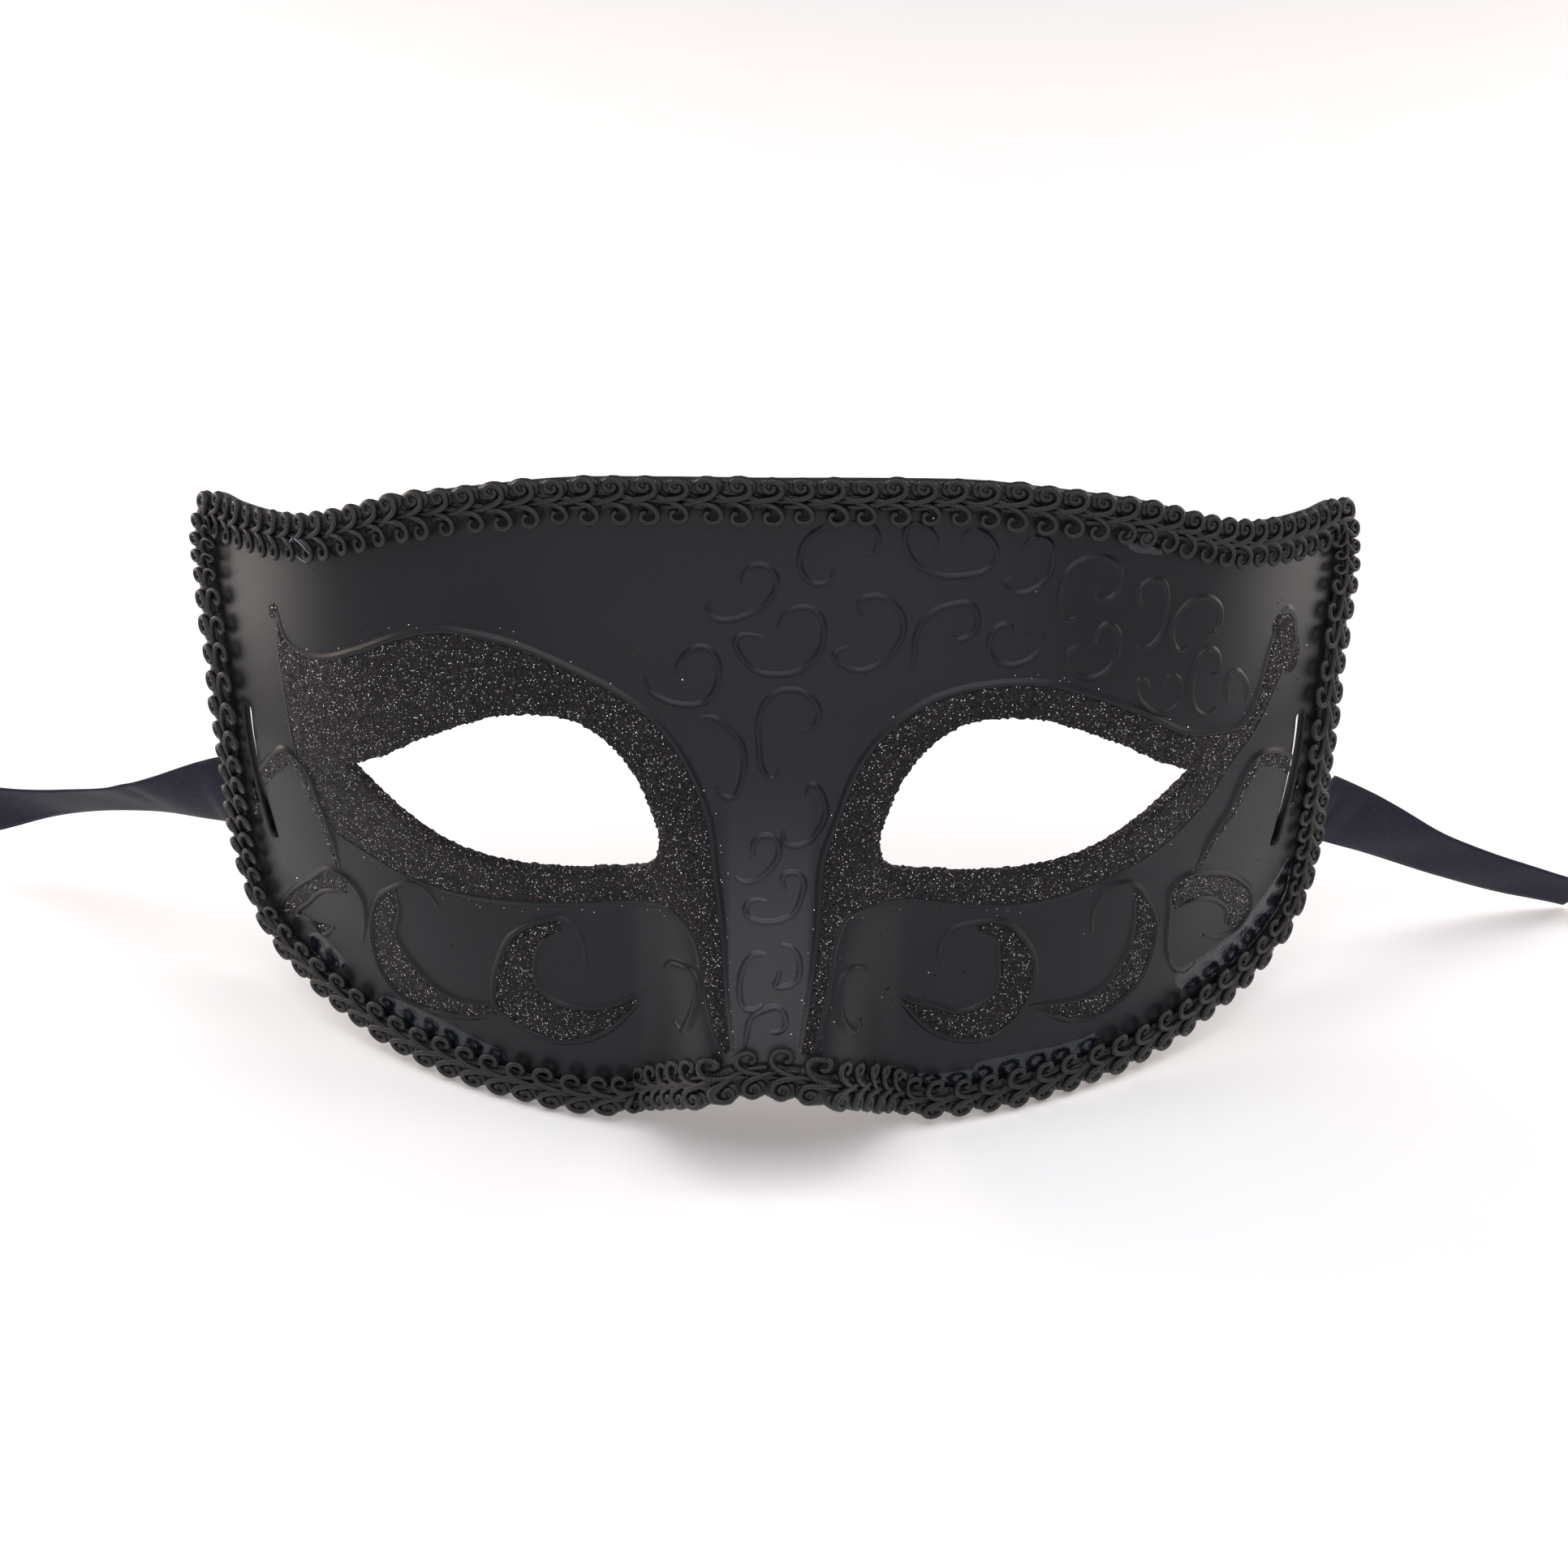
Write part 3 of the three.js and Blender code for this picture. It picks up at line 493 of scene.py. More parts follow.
# %% Scrolls of the forehead and nose, in pixels of the photograph
SCROLLS_SEEN = [
    [(914, 719), (916, 703), (931, 694), (952, 703), (957, 723), (940, 750), (913, 763), (886, 763),
     (871, 751), (879, 736)],
    [(1024, 701), (1027, 709), (1020, 719), (1005, 721), (989, 709), (984, 686), (992, 666), (1012, 651),
     (1050, 640), (1080, 651), (1083, 670), (1072, 686), (1063, 680)],
    [(1156, 683), (1155, 663), (1138, 646), (1118, 645), (1115, 660), (1118, 680), (1131, 700), (1161, 709),
     (1191, 709), (1214, 703), (1228, 686), (1224, 666), (1204, 651), (1186, 660), (1183, 673)],
    [(949, 789), (929, 782), (909, 781), (906, 789), (913, 809), (929, 827), (956, 834), (986, 826),
     (1009, 799), (1015, 769), (1005, 754), (986, 749), (966, 759), (959, 776)],
    [(1064, 763), (1054, 753), (1062, 741), (1082, 736), (1102, 743), (1113, 759), (1112, 782), (1098, 806),
     (1078, 822), (1055, 826), (1035, 819), (1025, 811), (1035, 801), (1049, 796)],
    [(1127, 829), (1125, 806), (1132, 779), (1148, 756), (1175, 743), (1198, 744), (1206, 759), (1201, 779),
     (1188, 789), (1176, 787), (1175, 779)],
    [(1284, 776), (1287, 786), (1277, 806), (1267, 815), (1247, 822), (1224, 812), (1218, 792), (1224, 776),
     (1241, 767), (1247, 775), (1246, 789)],
    [(835, 836), (835, 819), (846, 802), (866, 797), (883, 809), (888, 829), (883, 849), (869, 864),
     (846, 869), (820, 865), (797, 849), (792, 836), (800, 832)],
    [(960, 945), (952, 961), (939, 950), (934, 918), (936, 885), (949, 859), (969, 849), (992, 855),
     (1009, 875), (1000, 895), (982, 902)],
    [(856, 885), (876, 885), (896, 895), (911, 915), (916, 942), (913, 968), (903, 985), (886, 981),
     (883, 968)],
    [(990, 985), (1000, 965), (1017, 1000), (1002, 1032), (981, 1044), (967, 1041), (965, 1023)],
    [(902, 1078), (906, 1085), (920, 1087), (940, 1079), (955, 1062), (960, 1044), (952, 1031), (940, 1028),
     (932, 1034), (927, 1047), (929, 1059)],
    [(946, 1113), (932, 1110), (918, 1117), (920, 1132), (935, 1138), (955, 1136), (976, 1126), (989, 1106),
     (990, 1085), (982, 1075), (968, 1075), (962, 1082), (966, 1091), (971, 1100)],
    [(946, 1179), (935, 1175), (920, 1185), (911, 1205), (911, 1229), (917, 1245), (932, 1243),
     (940, 1235)],
    [(958, 1163), (970, 1164), (982, 1176), (984, 1194), (980, 1211), (967, 1218), (952, 1216), (961, 1205),
     (961, 1195)],
    [(917, 1293), (918, 1276), (926, 1255), (940, 1243), (958, 1242), (970, 1252), (968, 1267), (955, 1274),
     (946, 1273)],
    [(1259, 686), (1262, 670), (1279, 659), (1296, 666), (1299, 686), (1292, 709), (1276, 726), (1252, 733),
     (1236, 726), (1231, 718), (1251, 708)],
    [(1329, 758), (1312, 766), (1304, 753), (1306, 729), (1316, 706), (1335, 690), (1359, 686), (1379, 700),
     (1382, 719), (1372, 736), (1355, 741), (1349, 733), (1355, 723)],
    [(1329, 794), (1319, 799), (1314, 816), (1325, 832), (1345, 837), (1365, 826), (1377, 802), (1377, 779),
     (1369, 766), (1359, 768), (1352, 782), (1350, 796)],
    [(1412, 746), (1402, 743), (1402, 729), (1412, 716), (1427, 713), (1435, 716), (1440, 733), (1437, 759),
     (1428, 782), (1415, 797), (1403, 796), (1403, 786)],
    [(1465, 796), (1452, 802), (1443, 789), (1445, 769), (1455, 749), (1471, 738), (1491, 736), (1503, 749),
     (1503, 769), (1495, 782), (1486, 779)],
    [(1418, 849), (1413, 837), (1403, 837), (1402, 855), (1412, 872), (1432, 879), (1452, 865), (1457, 849),
     (1450, 832), (1438, 832), (1433, 849)],
    [(1501, 869), (1491, 882), (1475, 875), (1468, 852), (1471, 826), (1481, 806), (1495, 802), (1503, 816),
     (1501, 831), (1493, 832)],
    [(1515, 867), (1511, 849), (1516, 832), (1523, 826), (1534, 836), (1538, 852), (1533, 867)],
]
TEMPLE_CURL = [(78.5, 72), (80, 73.5), (82, 72), (82.5, 69), (81.5, 66), (80, 64.5)]    # chart
SCROLLS = [on_chart(line) for line in SCROLLS_SEEN] + [TEMPLE_CURL]
print(len(SCROLLS), "scrolls")

# %% Glitter panels: upper and lower edges from the nose to the temple, in pixels of the photograph
PANELS_SEEN = {
    "right": (
        [(985, 1300), (1003, 1180), (1008, 1120), (1015, 1060), (1030, 1010), (1055, 955), (1090, 905),
         (1130, 872), (1170, 855), (1230, 845), (1290, 843), (1350, 857), (1410, 880), (1460, 900),
         (1500, 903), (1530, 890), (1550, 850), (1565, 800), (1575, 765)],
        [(1003, 1300), (1020, 1220), (1030, 1160), (1045, 1130), (1080, 1114), (1160, 1114), (1240, 1117),
         (1300, 1105), (1370, 1080), (1430, 1045), (1480, 995), (1520, 935), (1545, 900), (1570, 850),
         (1590, 800)]),
    "left": (
        [(903, 1300), (893, 1220), (890, 1150), (883, 1080), (872, 1010), (850, 950), (810, 895),
         (760, 855), (700, 822), (640, 797), (590, 782), (540, 777), (490, 783), (440, 800), (400, 810),
         (375, 803), (352, 785), (340, 750)],
        [(898, 1305), (885, 1290), (870, 1220), (855, 1155), (830, 1125), (790, 1112), (720, 1112),
         (640, 1112), (560, 1100), (500, 1080), (450, 1050), (410, 1020), (385, 985), (370, 940),
         (355, 880), (345, 820)]),
}
PANEL_EDGES = {name: [on_chart(edge) for edge in edges] for name, edges in PANELS_SEEN.items()}

# %% Leaf lines of the cheeks; each leaf has an outer and an inner line, and fill is where its glitter starts
LEAVES_SEEN = {
    "right_nose": dict(fill=(3, 15), outer=[
        (1161, 1196), (1159, 1166), (1175, 1144), (1201, 1135), (1235, 1137), (1260, 1152), (1273, 1178),
        (1273, 1207), (1264, 1237), (1246, 1263), (1212, 1281), (1175, 1281), (1142, 1266), (1120, 1244),
        (1093, 1220)],
        inner=[(1209, 1148), (1227, 1159), (1231, 1185), (1227, 1211), (1209, 1237), (1179, 1244),
               (1150, 1240), (1120, 1233), (1093, 1220)]),
    "right_middle": dict(fill=(3, 13), outer=[
        (1346, 1148), (1349, 1118), (1364, 1096), (1394, 1089), (1416, 1107), (1425, 1137), (1420, 1170),
        (1405, 1203), (1386, 1229), (1357, 1248), (1320, 1255), (1283, 1246), (1268, 1240)],
        inner=[(1396, 1111), (1396, 1137), (1390, 1170), (1375, 1196), (1353, 1218), (1323, 1231),
               (1294, 1237), (1272, 1237)]),
    "right_side": dict(fill=(4, 12), outer=[
        (1473, 1185), (1460, 1198), (1446, 1192), (1436, 1166), (1440, 1115), (1442, 1100), (1460, 1080),
        (1490, 1074), (1519, 1078), (1540, 1100), (1538, 1122), (1523, 1144), (1501, 1155), (1483, 1152)],
        inner=[(1449, 1118), (1471, 1107), (1497, 1109), (1510, 1122), (1510, 1140)]),
    "left_nose": dict(fill=(3, 14), outer=[
        (722, 1190), (722, 1165), (712, 1145), (690, 1133), (658, 1135), (630, 1155), (612, 1185),
        (607, 1210), (612, 1240), (640, 1265), (690, 1283), (740, 1275), (780, 1245), (797, 1222)],
        inner=[(690, 1147), (668, 1160), (660, 1190), (662, 1215), (690, 1238), (720, 1242), (760, 1238),
               (797, 1222)]),
    "left_middle": dict(fill=(3, 13), outer=[
        (541, 1120), (532, 1102), (516, 1090), (500, 1088), (467, 1104), (458, 1128), (459, 1161),
        (470, 1193), (489, 1220), (516, 1238), (548, 1249), (580, 1252), (612, 1248)],
        inner=[(489, 1099), (491, 1120), (489, 1150), (502, 1177), (516, 1193), (537, 1214), (564, 1230),
               (593, 1237), (615, 1237)]),
    "left_side": dict(fill=(3, 8), outer=[
        (446, 1161), (451, 1126), (446, 1104), (430, 1083), (408, 1072), (385, 1081), (358, 1098),
        (344, 1119)],
        inner=[(425, 1097), (400, 1097), (380, 1110), (368, 1125), (387, 1139), (400, 1150), (412, 1143)]),
}
LEAVES = {name: dict(leaf, outer=on_chart(leaf["outer"]), inner=on_chart(leaf["inner"]))
          for name, leaf in LEAVES_SEEN.items()}

# %% Small hooks beside the nose and lobes at the temples, in pixels of the photograph
HOOKS_SEEN = [
    [(1068, 1192), (1050, 1192), (1038, 1205), (1034, 1235), (1040, 1260), (1055, 1270), (1060, 1255)],
    [(817, 1191), (832, 1188), (850, 1196), (858, 1214), (852, 1255), (841, 1273), (832, 1258)],
]
LOBES_SEEN = [
    [(1475, 1070), (1490, 1033), (1512, 1000), (1530, 960), (1550, 930), (1580, 925), (1600, 953),
     (1595, 1001)],
    [(418, 1070), (410, 1030), (395, 990), (375, 945), (352, 925), (335, 930), (316, 961), (312, 1003)],
]
HOOKS, LOBES = ([on_chart(line) for line in lines] for lines in (HOOKS_SEEN, LOBES_SEEN))
print(len(LEAVES), "leaves", len(HOOKS), "hooks", len(LOBES), "lobes")

# %% Sweep a bell-shaped section along each line
BELL = np.array([(-1, -0.06), (-0.7, 0.12), (-0.4, 0.66), (-0.14, 0.97),
                 (0.14, 0.97), (0.4, 0.66), (0.7, 0.12), (1, -0.06)])


def relief_mesh(lines):
    """Chart points and faces of raised lines given as (points, width, height)."""
    room = rim_outline(-BRAID_WIDTH / 2 + 0.5)
    chart, faces, used = [], [], 0
    for line, width, height in lines:
        line = line[inside(line, room)]
        run = np.linspace(0, 1, len(line))
        taper = np.clip(0.25 + 5 * np.minimum(run, 1 - run), 0, 1)
        left = aside(line)
        for offset, rise in BELL:
            place = line + left * (offset * width * (0.5 + 0.5 * taper))[:, None]
            chart.append(np.column_stack([place, rise * height * taper]))
        block = np.stack(chart[-len(BELL):], axis=1).reshape(-1, 3)
        chart[-len(BELL):] = [block]
        faces += [tuple(used + i for i in f) for f in grid_faces(len(line), len(BELL))]
        used += len(block)
    chart = np.vstack(chart)
    middle = chart[np.array(faces), :2].mean(1)
    over_slit = [inside(middle, offset_loop(slit_outline(side), 0.6)) for side in (-1, 1)]
    return chart, [f for f, over in zip(faces, np.any(over_slit, axis=0)) if not over]


def softened(line, window=5):
    """The line with its small corners rounded off; its ends stay."""
    padded = np.vstack([np.repeat(line[:1], window // 2, 0), line, np.repeat(line[-1:], window // 2, 0)])
    return np.stack([np.convolve(padded[:, k], np.ones(window) / window, "valid") for k in (0, 1)], axis=1)


relief_lines = [(softened(curve_through(line)), 0.58, 0.38) for line in SCROLLS]
for upper, lower in PANEL_EDGES.values():
    relief_lines += [(curve_through(upper), 0.75, 0.5), (curve_through(lower), 0.6, 0.25)]
for leaf in LEAVES.values():
    relief_lines += [(curve_through(leaf["outer"]), 0.7, 0.5), (curve_through(leaf["inner"]), 0.66, 0.46)]
relief_lines += [(curve_through(line), 0.72, 0.5) for line in HOOKS + LOBES]
relief_chart, relief_faces = relief_mesh(relief_lines)
relief = make_piece("raised_lines", face_form(relief_chart), relief_faces, PLASTIC)
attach(relief, "root")

# %% [markdown]
# ## Glitter
# The glitter is brushed on as glue and sprinkled with flakes a sixth of a millimetre wide, mostly
# black with some silver and a few red ones. A grainy sheet makes the crust, and Geometry Nodes scatter loose
# flakes on it, each with its own tilt, size and tint, so single flakes flash as they do on the real mask.

# %% Glitter crust material
def glitter_crust():
    """Polyester flakes in black glue: each cell of the pattern is a flake 0.17 mm wide with its own tilt."""
    material, tree, shader = new_material("glitter_crust")
    place = add(tree, "ShaderNodeTexCoord").outputs["Object"]
    cells = add(tree, "ShaderNodeTexVoronoi", inputs={"Vector": place, "Scale": 1 / (0.17 * MM)})
    tint = add(tree, "ShaderNodeSeparateColor", inputs={"Color": cells.outputs["Color"]}).outputs["Red"]
    flecks = ramp(tree, [
        (0, colour("#050405")), (0.5, colour("#0d0b0e")), (0.76, colour("#221f24")), (0.92, colour("#4a444c")),
        (0.965, colour("#5e2633")), (0.98, colour("#b4b0b7"))], tint, "CONSTANT")
    patches = add(tree, "ShaderNodeTexNoise", inputs={"Vector": place, "Scale": 1 / (5 * MM), "Detail": 4})
    cover = ramp(tree, [(0.4, grey(0.4)), (0.6, grey(1.0))], patches.outputs["Fac"])
    base = add(tree, "ShaderNodeMix", {"data_type": "RGBA", "blend_type": "MULTIPLY"}, {
        "Factor": 1.0, "A": flecks, "B": cover}).outputs["Result"]
    shift = add(tree, "ShaderNodeVectorMath", {"operation": "SUBTRACT"}, {
        0: cells.outputs["Color"], 1: (0.5, 0.5, 0.5)}).outputs[0]
    tilt = add(tree, "ShaderNodeVectorMath", {"operation": "SCALE"}, {0: shift, "Scale": 1.2}).outputs[0]
    normal = add(tree, "ShaderNodeNewGeometry").outputs["Normal"]
    tilted = add(tree, "ShaderNodeVectorMath", {"operation": "ADD"}, {0: normal, 1: tilt}).outputs[0]
    facing = add(tree, "ShaderNodeVectorMath", {"operation": "NORMALIZE"}, {0: tilted}).outputs[0]
    tree.links.new(base, shader.inputs["Base Color"])
    tree.links.new(facing, shader.inputs["Normal"])
    shader.inputs["Roughness"].default_value = 0.45
    shader.inputs["Specular IOR Level"].default_value = 0.22
    return material


def glitter_flake():
    """Metallised polyester film, cut into specks: mirror-like, black, silver or red."""
    material, tree, shader = new_material("glitter_flake")
    tint = add(tree, "ShaderNodeAttribute", {"attribute_name": "tint"}).outputs["Fac"]
    base = ramp(tree, [(0, colour("#0b0b0c")), (0.5, colour("#2a272c")), (0.8, colour("#702a3b")),
                       (0.85, colour("#fbfaff"))], tint, "CONSTANT")
    tree.links.new(base, shader.inputs["Base Color"])
    shader.inputs["Roughness"].default_value = 0.25
    shader.inputs["Metallic"].default_value = 0.85
    return material


CRUST, FLAKE = glitter_crust(), glitter_flake()

# %% Outlines of the glitter areas
areas = []
for side, name in ((1, "right"), (-1, "left")):
    upper, lower = PANEL_EDGES[name]
    edge = np.vstack([curve_through(upper), curve_through(lower)[::-1]])
    eye = eye_outline(side, 0.4)
    ragged = 0.34 * np.random.default_rng(7).random(len(eye))[:, None] ** 1.5 - 0.06
    areas.append((edge, [eye - ragged * (offset_loop(eye, 1) - eye)]))
for leaf in LEAVES.values():
    first, last = leaf["fill"]
    edge = np.vstack([curve_through(leaf["outer"][first:last]), curve_through(leaf["inner"])[::-1]])
    areas.append((edge, []))
for line in LOBES:
    outer = curve_through(line)
    reach = 2.8 * np.sin(np.linspace(0.05, 0.95, len(outer)) * math.pi)[:, None] ** 0.5
    either = [outer + sign * reach * aside(outer) for sign in (-1, 1)]
    inner = min(either, key=lambda ring: np.linalg.norm(ring - outer.mean(0), axis=1).sum())
    areas.append((np.vstack([outer, inner[::-1]]), []))
LUMP_SEEN = [(330, 748), (336, 742), (344, 750), (340, 762), (332, 760)]
TEMPLE_HOOK_SEEN = [(1569, 769), (1574, 759), (1583, 753), (1591, 759), (1597, 773), (1601, 790),
                    (1600, 809), (1595, 824), (1586, 831), (1580, 824), (1578, 812), (1574, 808),
                    (1570, 817), (1569, 802), (1568, 786)]
for outline in (LUMP_SEEN, TEMPLE_HOOK_SEEN):
    areas.append((curve_through(on_chart(outline), closed=True), []))


# %% Build the glitter crust
def crust_mesh(spacing=0.75):
    rng = np.random.default_rng(11)
    room = rim_outline(-BRAID_WIDTH / 2 + 1)
    chart, faces, used = [], [], 0
    for edge, holes in areas:
        flat, triangles = fill_sheet(edge, holes, spacing)
        border = len(edge) + sum(len(h) for h in holes)
        n = 0.14 + 0.16 * rng.random(len(flat))
        n[:border] = -0.05
        chart.append(np.column_stack([flat, n]))
        middle = flat[triangles].mean(1)
        keep = inside(middle, room)
        for side in (-1, 1):
            keep &= ~inside(middle, offset_loop(slit_outline(side), 0.5))
        faces += [tuple(f + used) for f in triangles[keep]]
        used += len(flat)
    for _, (loop,) in areas[:2]:
        size = len(loop)
        chart += [np.column_stack([loop, np.full(size, n)]) for n in (-0.04, -1.3)]
        x, y = loop.T
        runs_left = (x * np.roll(y, -1) - np.roll(x, -1) * y).sum() > 0
        for k in range(size):
            k1 = (k + 1) % size
            quad = (used + k, used + k1, used + size + k1, used + size + k)
            faces.append(quad if runs_left else quad[::-1])
        used += 2 * size
    return np.vstack(chart), faces


crust_chart, crust_faces = crust_mesh()
crust = make_piece("glitter_crust", face_form(crust_chart), crust_faces, CRUST)
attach(crust, "root")


# %% Geometry Nodes helpers
def new_tree(name, sizes):
    """A geometry tree with one geometry in and out, and the named sizes as inputs."""
    tree = bpy.data.node_groups.new(name, "GeometryNodeTree")
    tree.interface.new_socket("Geometry", in_out="INPUT", socket_type="NodeSocketGeometry")
    tree.interface.new_socket("Geometry", in_out="OUTPUT", socket_type="NodeSocketGeometry")
    for label, kind in sizes:
        tree.interface.new_socket(label, in_out="INPUT", socket_type=kind)
    return tree, add(tree, "NodeGroupInput").outputs


def run_tree(piece, tree, values):
    """Run the tree on a piece and keep its result as a plain mesh."""
    modifier = piece.modifiers.new(tree.name, "NODES")
    modifier.node_group = tree
    for item in tree.interface.items_tree:
        if item.in_out == "INPUT" and item.name in values:
            modifier[item.identifier] = values[item.name]
    depsgraph = bpy.context.evaluated_depsgraph_get()
    result = bpy.data.meshes.new_from_object(piece.evaluated_get(depsgraph))
    piece.modifiers.remove(modifier)
    piece.data = result
    print(f"{piece.name}: {sum(len(p.vertices) - 2 for p in result.polygons)} triangles")
    return piece


# %% The flake scatter
FLOAT, INTEGER = "NodeSocketFloat", "NodeSocketInt"


def flake_tree():
    tree, given = new_tree("flake_scatter", [("Density", FLOAT), ("Flake Size", FLOAT), ("Tilt", FLOAT),
                                             ("Seed", INTEGER)])
    spots = add(tree, "GeometryNodeDistributePointsOnFaces", inputs={
        "Mesh": given["Geometry"], "Density": given["Density"], "Seed": given["Seed"]})
    flake = add(tree, "GeometryNodeMeshCone", {"fill_type": "NONE"}, {
        "Vertices": 4, "Radius Top": 0.0, "Radius Bottom": 0.5, "Depth": 0.22})
    least = add(tree, "ShaderNodeVectorMath", {"operation": "SCALE"}, {
        0: (-1, -1, -9), "Scale": given["Tilt"]})
    most = add(tree, "ShaderNodeVectorMath", {"operation": "SCALE"}, {0: (1, 1, 9), "Scale": given["Tilt"]})
    turn = add(tree, "FunctionNodeRandomValue", {"data_type": "FLOAT_VECTOR"}, {
        "Min": least.outputs[0], "Max": most.outputs[0], "Seed": given["Seed"]})
    tilt = add(tree, "FunctionNodeRotateRotation", {"rotation_space": "LOCAL"}, {
        "Rotation": spots.outputs["Rotation"], "Rotate By": turn.outputs["Value"]})
    spread = add(tree, "FunctionNodeRandomValue", {"data_type": "FLOAT"}, {
        2: 0.6, 3: 1.3, "Seed": given["Seed"]})
    size = add(tree, "ShaderNodeMath", {"operation": "MULTIPLY"}, {
        0: spread.outputs[1], 1: given["Flake Size"]})
    scattered = add(tree, "GeometryNodeInstanceOnPoints", inputs={
        "Points": spots.outputs["Points"], "Instance": flake.outputs["Mesh"],
        "Rotation": tilt.outputs["Rotation"], "Scale": size.outputs[0]})
    chance = add(tree, "FunctionNodeRandomValue", {"data_type": "FLOAT"}, {2: 0.0, 3: 1.0, "Seed": 5})
    tinted = add(tree, "GeometryNodeStoreNamedAttribute", {"data_type": "FLOAT", "domain": "INSTANCE"}, {
        "Geometry": scattered.outputs["Instances"], "Name": "tint", "Value": chance.outputs[1]})
    real = add(tree, "GeometryNodeRealizeInstances", inputs={"Geometry": tinted.outputs["Geometry"]})
    done = add(tree, "GeometryNodeSetMaterial", inputs={
        "Geometry": real.outputs["Geometry"], "Material": FLAKE})
    add(tree, "NodeGroupOutput", inputs={"Geometry": done.outputs["Geometry"]})
    return tree


FLAKES = flake_tree()
flakes = make_piece("glitter_flakes", face_form(crust_chart), crust_faces, FLAKE)
run_tree(flakes, FLAKES, {"Density": 8e6, "Flake Size": 0.155 * MM, "Tilt": 0.6, "Seed": 3})
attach(flakes, "root")

# %% Stray flakes on the bare plastic
stray = make_piece("stray_flakes", face_form(np.column_stack([sheet, np.full(len(sheet), 0.04)])),
                   sheet_faces, FLAKE)
run_tree(stray, FLAKES, {"Density": 1.2e4, "Flake Size": 0.24 * MM, "Tilt": 0.3, "Seed": 8})
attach(stray, "root")

# %% Flakes that fell just outside the panels, so that their edges fade
panel_edge = np.vstack([edge for edge, holes in areas[:2]])
panel_near = KDTree(len(panel_edge))
for i, (s, z) in enumerate(panel_edge):
    panel_near.insert((s, z, 0), i)
panel_near.balance()
fringe_faces = [f for f in sheet_faces if panel_near.find((*sheet[f].mean(0), 0))[2] < 1.5]
fringe = make_piece("fringe_flakes", face_form(np.column_stack([sheet, np.full(len(sheet), 0.04)])),
                    fringe_faces, FLAKE)
run_tree(fringe, FLAKES, {"Density": 1.3e6, "Flake Size": 0.15 * MM, "Tilt": 0.4, "Seed": 12})
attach(fringe, "root")

# %% [markdown]
# ## Gimp braid
# Gimp is a flat trimming of wrapped cord. Each stitch lays a comma of cord to either side, and its tail runs
# under the next one, which gives a row of loops along both edges and a herringbone down the middle.
# Geometry Nodes repeat one stitch along a straight line, and the straight braid is then bent round the rim.

# %% Wrapped cord material
def wrapped_cord():
    """Black rayon yarn wound round a cotton core: dull sheen, fine turns about a quarter millimetre apart."""
    material, tree, shader = new_material("rayon_gimp_cord")
    uv = add(tree, "ShaderNodeUVMap", {"uv_map": "UVMap"}).outputs["UV"]
    place = add(tree, "ShaderNodeTexCoord").outputs["Object"]
    lean = add(tree, "ShaderNodeMapping", {"vector_type": "POINT"}, {
        "Vector": uv, "Rotation": (0, 0, math.radians(18))}).outputs["Vector"]
    turns = add(tree, "ShaderNodeTexWave", {"bands_direction": "X"}, {
        "Vector": lean, "Scale": 1 / 0.28 / 3.2, "Distortion": 0.6, "Detail": 1})
    wear = add(tree, "ShaderNodeTexNoise", inputs={"Vector": place, "Scale": 250, "Detail": 3})
    base = ramp(tree, [(0.3, colour("#050507")), (0.75, colour("#0c0c0f"))], wear.outputs["Fac"])
    bump = add(tree, "ShaderNodeBump", inputs={
        "Strength": 0.6, "Distance": 0.06 * MM, "Height": turns.outputs["Fac"]})
    tree.links.new(base, shader.inputs["Base Color"])
    tree.links.new(bump.outputs["Normal"], shader.inputs["Normal"])
    shader.inputs["Roughness"].default_value = 0.42
    shader.inputs["Specular IOR Level"].default_value = 0.42
    shader.inputs["Sheen Weight"].default_value = 0.03
    shader.inputs["Sheen Roughness"].default_value = 0.4
    return material


CORD = wrapped_cord()

# %% One stitch: along the braid, outwards, above the plastic, in millimetres
PITCH = 4.15
OUTER_CURL = [
    (-6.8, -0.75, 0.5), (-4.8, -0.68, 0.75), (-2.8, -0.45, 1.05), (-1.1, 0.0, 1.4), (0.4, 0.5, 1.65),
    (1.25, 1.2, 1.65), (1.35, 2.05, 1.55), (0.8, 2.8, 1.4), (-0.3, 3.0, 1.25), (-1.05, 2.45, 1.15),
    (-0.95, 1.65, 1.15), (-0.25, 1.3, 1.2), (0.38, 1.65, 1.25), (0.3, 2.15, 1.2), (-0.2, 2.1, 1.1)]
INNER_CURL = [
    (-6.6, 0.6, 0.45), (-4.6, 0.5, 0.7), (-2.8, 0.25, 1.0), (-1.1, -0.25, 1.3), (0.4, -0.7, 1.5),
    (1.45, -1.45, 1.5),
    (1.75, -2.45, 1.4), (1.15, -3.3, 1.25), (0.05, -3.45, 1.1), (-0.6, -2.8, 0.95), (-0.35, -2.05, 0.95),
    (0.35, -1.95, 1.0)]
KNOB = [(-2.0, 1.2, 0.75), (-1.1, 1.75, 0.8), (0, 2.15, 0.85), (1.2, 1.8, 0.8), (2.1, 1.2, 0.75)]
CORE = [(-2.6, 0.35, 0.45), (0, 0.35, 0.5), (2.6, 0.35, 0.45)]
CORDS = [(OUTER_CURL, 0.48, 0.5), (INNER_CURL, 0.44, 0.46), (KNOB, 1.35, 0.5), (CORE, 2.1, 0.4)]  # half sizes


